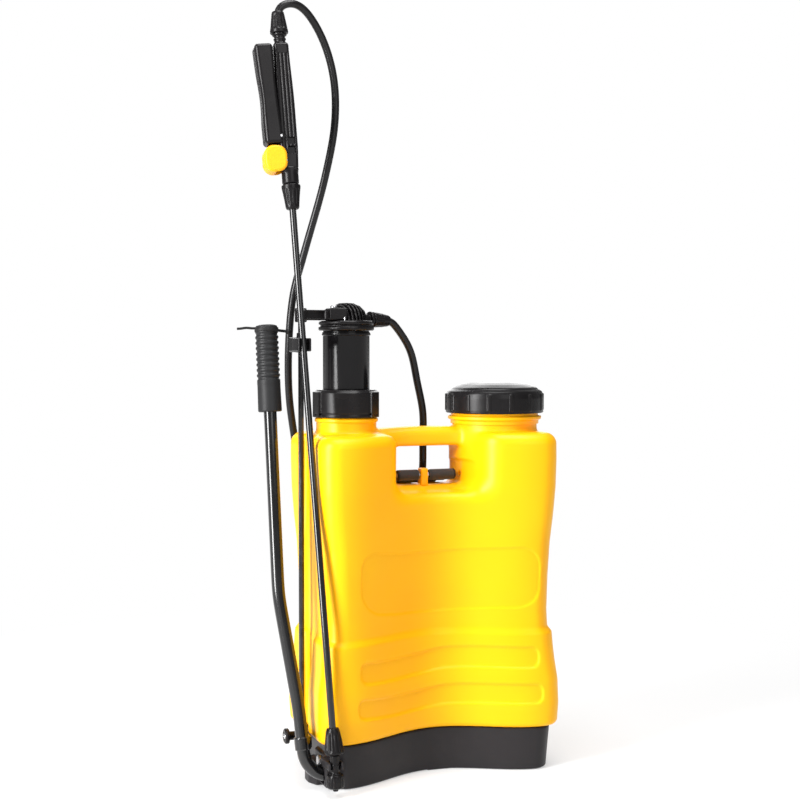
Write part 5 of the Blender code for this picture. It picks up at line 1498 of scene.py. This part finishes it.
def build_pad(tag, path, up, node):
    """Padded sleeve over the shoulder webbing: inflated, then quilted. Returns its widths."""
    part = np.linspace(0, 1, len(path))
    wide = (PAD_WIDTH * np.clip(np.minimum(part, 1 - part) / 0.06, 0, 1) ** 0.35
            * (1 - 0.06 * np.cos(2 * math.pi * part)))
    wide = np.maximum(wide, 0.010)
    pad = band(f"Shoulder_Pad_{tag}", path, up, wide, thick=0.0070, cols=18)
    skin = pad.modifiers.new("skin", "REMESH")
    skin.mode = "VOXEL"
    skin.voxel_size = 0.0035
    bpy.context.view_layer.update()
    shell = evaluated_mesh(pad)
    pad.modifiers.clear()
    pad.data = shell
    rest = vertex_places(shell)
    rest = inflate(pad, rest)
    pad.data.vertices.foreach_set("co", quilt(rest, path, up).ravel())
    pad.data.shade_smooth()
    fine = pad.modifiers.new("fine", "SUBSURF")
    fine.levels = fine.render_levels = 1
    finish(pad, PAD_MAT, "tank_unit", node)
    return wide


def build_stitches(name, path, up, offset, node, lift=0.0011, pitch=0.0050):
    """Short raised thread lengths beside a line."""
    across = unit_rows(np.cross(up, tangents(path)))
    line = path + across * offset + up * lift
    run = lengths(line)
    verts, faces = [], []
    place = pitch
    while place < run[-1] - pitch:
        j = int(np.argmin(np.abs(run - place)))
        base = len(verts)
        for k, radius, rise in ((-1, 0.0002, 0.0), (0, 0.00036, 0.00025), (1, 0.0002, 0.0)):
            centre = np.array([np.interp(place + k * pitch * 0.3, run, line[:, i])
                               for i in range(3)])
            for m in range(6):
                angle = 2 * math.pi * m / 6
                verts.append(centre + up[j] * rise + across[j] * radius * math.cos(angle)
                             + up[j] * radius * math.sin(angle))
        for row in (base, base + 6):
            for m in range(6):
                after = (m + 1) % 6
                faces.append((row + m, row + after, row + 6 + after, row + 6 + m))
        faces.append(tuple(base + m for m in range(6))[::-1])
        faces.append(tuple(base + 12 + m for m in range(6)))
        place += pitch
    piece = mesh_object(name, verts, faces, angle=60)
    face_outward(piece.data)
    finish(piece, THREAD_MAT, "tank_unit", node)


def build_shoulder_strap(tag, side):
    node = "shoulder_strap_" + tag.lower()
    path, up = strap_line(side)
    finish(band(f"Shoulder_Webbing_{tag}", path, up, width=0.0290, thick=0.0020, cols=14),
           WEB_MAT, "tank_unit", node)
    # the pad covers the part behind the tank
    first = int(np.argmin(np.abs(path[:, 2] - 0.3860) + (path[:, 1] < 0.11) * 9))
    last = int(np.argmin(np.abs(path[:, 2] - 0.1880)))
    pad_path, pad_up = path[first:last], up[first:last]
    wide = build_pad(tag, pad_path, pad_up, node)
    # binding tape round both long edges of the pad
    across = unit_rows(np.cross(pad_up, tangents(pad_path)))
    for key, sign in (("A", -1), ("B", 1)):
        edge = pad_path + across * (sign * (wide / 2 + 0.0006))[:, None]
        piece = tube(f"Pad_Binding_{tag}_{key}", edge, 0.0022, sides=12)
        piece.data.uv_layers.new(name="UVMap")
        finish(piece, RUBBER_MAT, "tank_unit", node, slot="webbing")
    # short keeper bands at the ends of the pad
    for key, i in (("A", 4), ("B", len(pad_path) - 9)):
        piece = band(f"Pad_Keeper_{tag}_{key}", pad_path[i:i + 5], pad_up[i:i + 5],
                     width=0.0340, thick=0.0150, cols=10)
        finish(piece, WEB_MAT, "tank_unit", node)
    for key, offset in (("A", -0.0125), ("B", 0.0125)):
        build_stitches(f"Webbing_Stitches_{tag}_{key}", path[4:-4], up[4:-4], offset, node)


for tag, side in SIDES:
    build_shoulder_strap(tag.title(), side)

# ------------------------------------------------------------------ strap buckles
BUCKLE_X, BUCKLE_Y, BUCKLE_Z = 0.125, 0.0918, 0.044
# (y, z) of the webbing threaded through a buckle
BUCKLE_WEB = ((0.102, 0.066), (0.0975, 0.056), (0.0935, 0.05), (0.0905, 0.044),
              (0.0932, 0.0384), (0.0972, 0.033), (0.0985, 0.024), (0.0975, 0.015))


def build_buckle(tag, middle):
    def field(x, y, z):
        solid = box(x, y, z, centre=(middle, BUCKLE_Y, BUCKLE_Z), half=(0.018, 0.004, 0.012),
                    edge=0.0022)
        # two slots for the webbing, and a round bar over the plate between them
        for height in (0.0382, 0.0498):
            slot = box(x, y, z, centre=(middle, BUCKLE_Y, height), half=(0.0148, 0.009, 0.0026),
                       edge=0.0014)
            solid = carve(solid, slot, 0.0006)
        bar = np.maximum(span(y - 0.0952, z - BUCKLE_Z) - 0.0018, np.abs(x - middle) - 0.016)
        return join(solid, bar, 0.001)

    moulded(f"Strap_Buckle_{tag}", GLOSS_MAT, "tank_unit", "strap_buckle_" + tag.lower(), field,
            (middle - 0.019, 0.0865, 0.031), (middle + 0.019, 0.0985, 0.057), step=0.0006)
    path = smooth_path([(middle, y, z) for y, z in BUCKLE_WEB], 0.0018, passes=2)
    finish(band(f"Buckle_Webbing_{tag}", path, (0, 1, 0.2), width=0.0270, thick=0.0018, cols=12),
           WEB_MAT, "tank_unit", "shoulder_strap_" + tag.lower())


for tag, side in SIDES:
    build_buckle(tag.title(), side * BUCKLE_X)

# ------------------------------------------------------------------ carried-over CAD pieces
for mat, names in (
        (RUBBER_MAT, ("foot_front_left", "foot_front_right", "foot_back_left", "foot_back_right",
                      "cylinder_gasket", "intake_valve", "piston_seal", "discharge_valve",
                      "lid_gasket")),
        (NATURAL_MAT, ("pump_cylinder", "cylinder_foot", "intake_strainer", "filler_strainer",
                       "piston_hub", "riser_tube", "shaft_bush")),
        (STEEL_MAT, ("pivot_screw", "shaft_clip", "valve_spring")),
        (BRASS_MAT, ("valve_stem",))):
    for name in names:
        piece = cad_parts[name]
        for slot in piece.material_slots:
            slot.material = mat
        if not piece.material_slots:
            piece.data.materials.append(mat)

# ------------------------------------------------------------------ floor, light and camera
FLOOR_HALF = 9


def floor_material():
    """Pale floor that turns into plain white glow away from the product."""
    t = Tree("Floor_Pale")
    patches = t.ramp(t.noise(t.coords(), scale=2.5, detail=3.0), low=0.3, high=0.7)
    t.surface(Base_Color=t.mix(patches, (0.90, 0.90, 0.90), (0.92, 0.92, 0.92)), Roughness=0.75)
    place = t.node("ShaderNodeTexCoord").outputs["Object"]
    parts = t.node("ShaderNodeSeparateXYZ", Vector=place).outputs
    square = t.plus(t.times(parts[0], parts[0]), t.times(parts[1], parts[1]))
    distance = t.math("SQRT", square)
    glow = t.node("ShaderNodeEmission", Color=(1, 1, 1), Strength=1.0)
    share = t.ramp(distance, low=0.20, high=1.30, low_to=0.45, high_to=1.0)
    mixed = t.node("ShaderNodeMixShader", (share, t.shader.outputs[0], glow.outputs[0]))
    t.put(t.tree.nodes["Material Output"], "Surface", mixed.outputs[0])
    return t.mat


def build_floor():
    mesh = bpy.data.meshes.new("Floor")
    mesh.from_pydata([(x * FLOOR_HALF, y * FLOOR_HALF, 0)
                      for x, y in ((-1, -1), (1, -1), (1, 1), (-1, 1))], [], [(0, 1, 2, 3)])
    floor = bpy.data.objects.new("Floor", mesh)
    scene.collection.objects.link(floor)
    mesh.materials.append(floor_material())


def add_light(name, place, target, size, power):
    data = bpy.data.lights.new(name, "AREA")
    data.shape = "RECTANGLE"
    data.size, data.size_y = size
    data.energy = power
    data.color = (1, 1, 1)
    light = bpy.data.objects.new(name, data)
    light.location = place
    aim = Vector(target) - Vector(place)
    light.rotation_euler = aim.to_track_quat("-Z", "Y").to_euler()
    scene.collection.objects.link(light)


def build_world():
    """White background that lights the scene more dimly than the camera sees it."""
    world = bpy.data.worlds.new("Studio")
    world.use_nodes = True
    nodes, links = world.node_tree.nodes, world.node_tree.links
    seen = nodes.new("ShaderNodeLightPath")
    level = nodes.new("ShaderNodeMapRange")
    links.new(seen.outputs["Is Camera Ray"], level.inputs[0])
    level.inputs[3].default_value = 0.26    # strength as a light
    level.inputs[4].default_value = 1.0     # strength as seen
    background = nodes["Background"]
    background.inputs["Color"].default_value = (1.0, 1.0, 1.0, 1)
    links.new(level.outputs[0], background.inputs["Strength"])
    scene.world = world
    scene.view_settings.view_transform = "Standard"


def add_camera():
    data = bpy.data.cameras.new("Camera")
    data.lens, data.sensor_width = 65.25, 36.0
    data.clip_end = 60
    camera = bpy.data.objects.new("Camera", data)
    camera.location = (-0.7552, -1.9829, 0.61565)
    camera.rotation_euler = (math.radians(87.829), 0.0, math.radians(-19.99))
    scene.collection.objects.link(camera)
    scene.camera = camera


build_floor()
# name, place, target, (width, height), watts
for light in (
        ("Key_Right", (0.35, -2.75, 1.6), (0, 0, 0.40), (1.6, 1.8), 17),
        ("Softbox_Left", (-2.1, -0.75, 0.95), (-0.1, 0, 0.42), (0.70, 2.4), 115),
        ("Top", (0.0, -0.4, 2.6), (0, 0, 0.4), (1.4, 1.4), 48),
        ("Back_Fill", (0.6, 2.3, 1.4), (0, 0, 0.5), (1.8, 1.6), 24)):
    add_light(*light)
build_world()
add_camera()
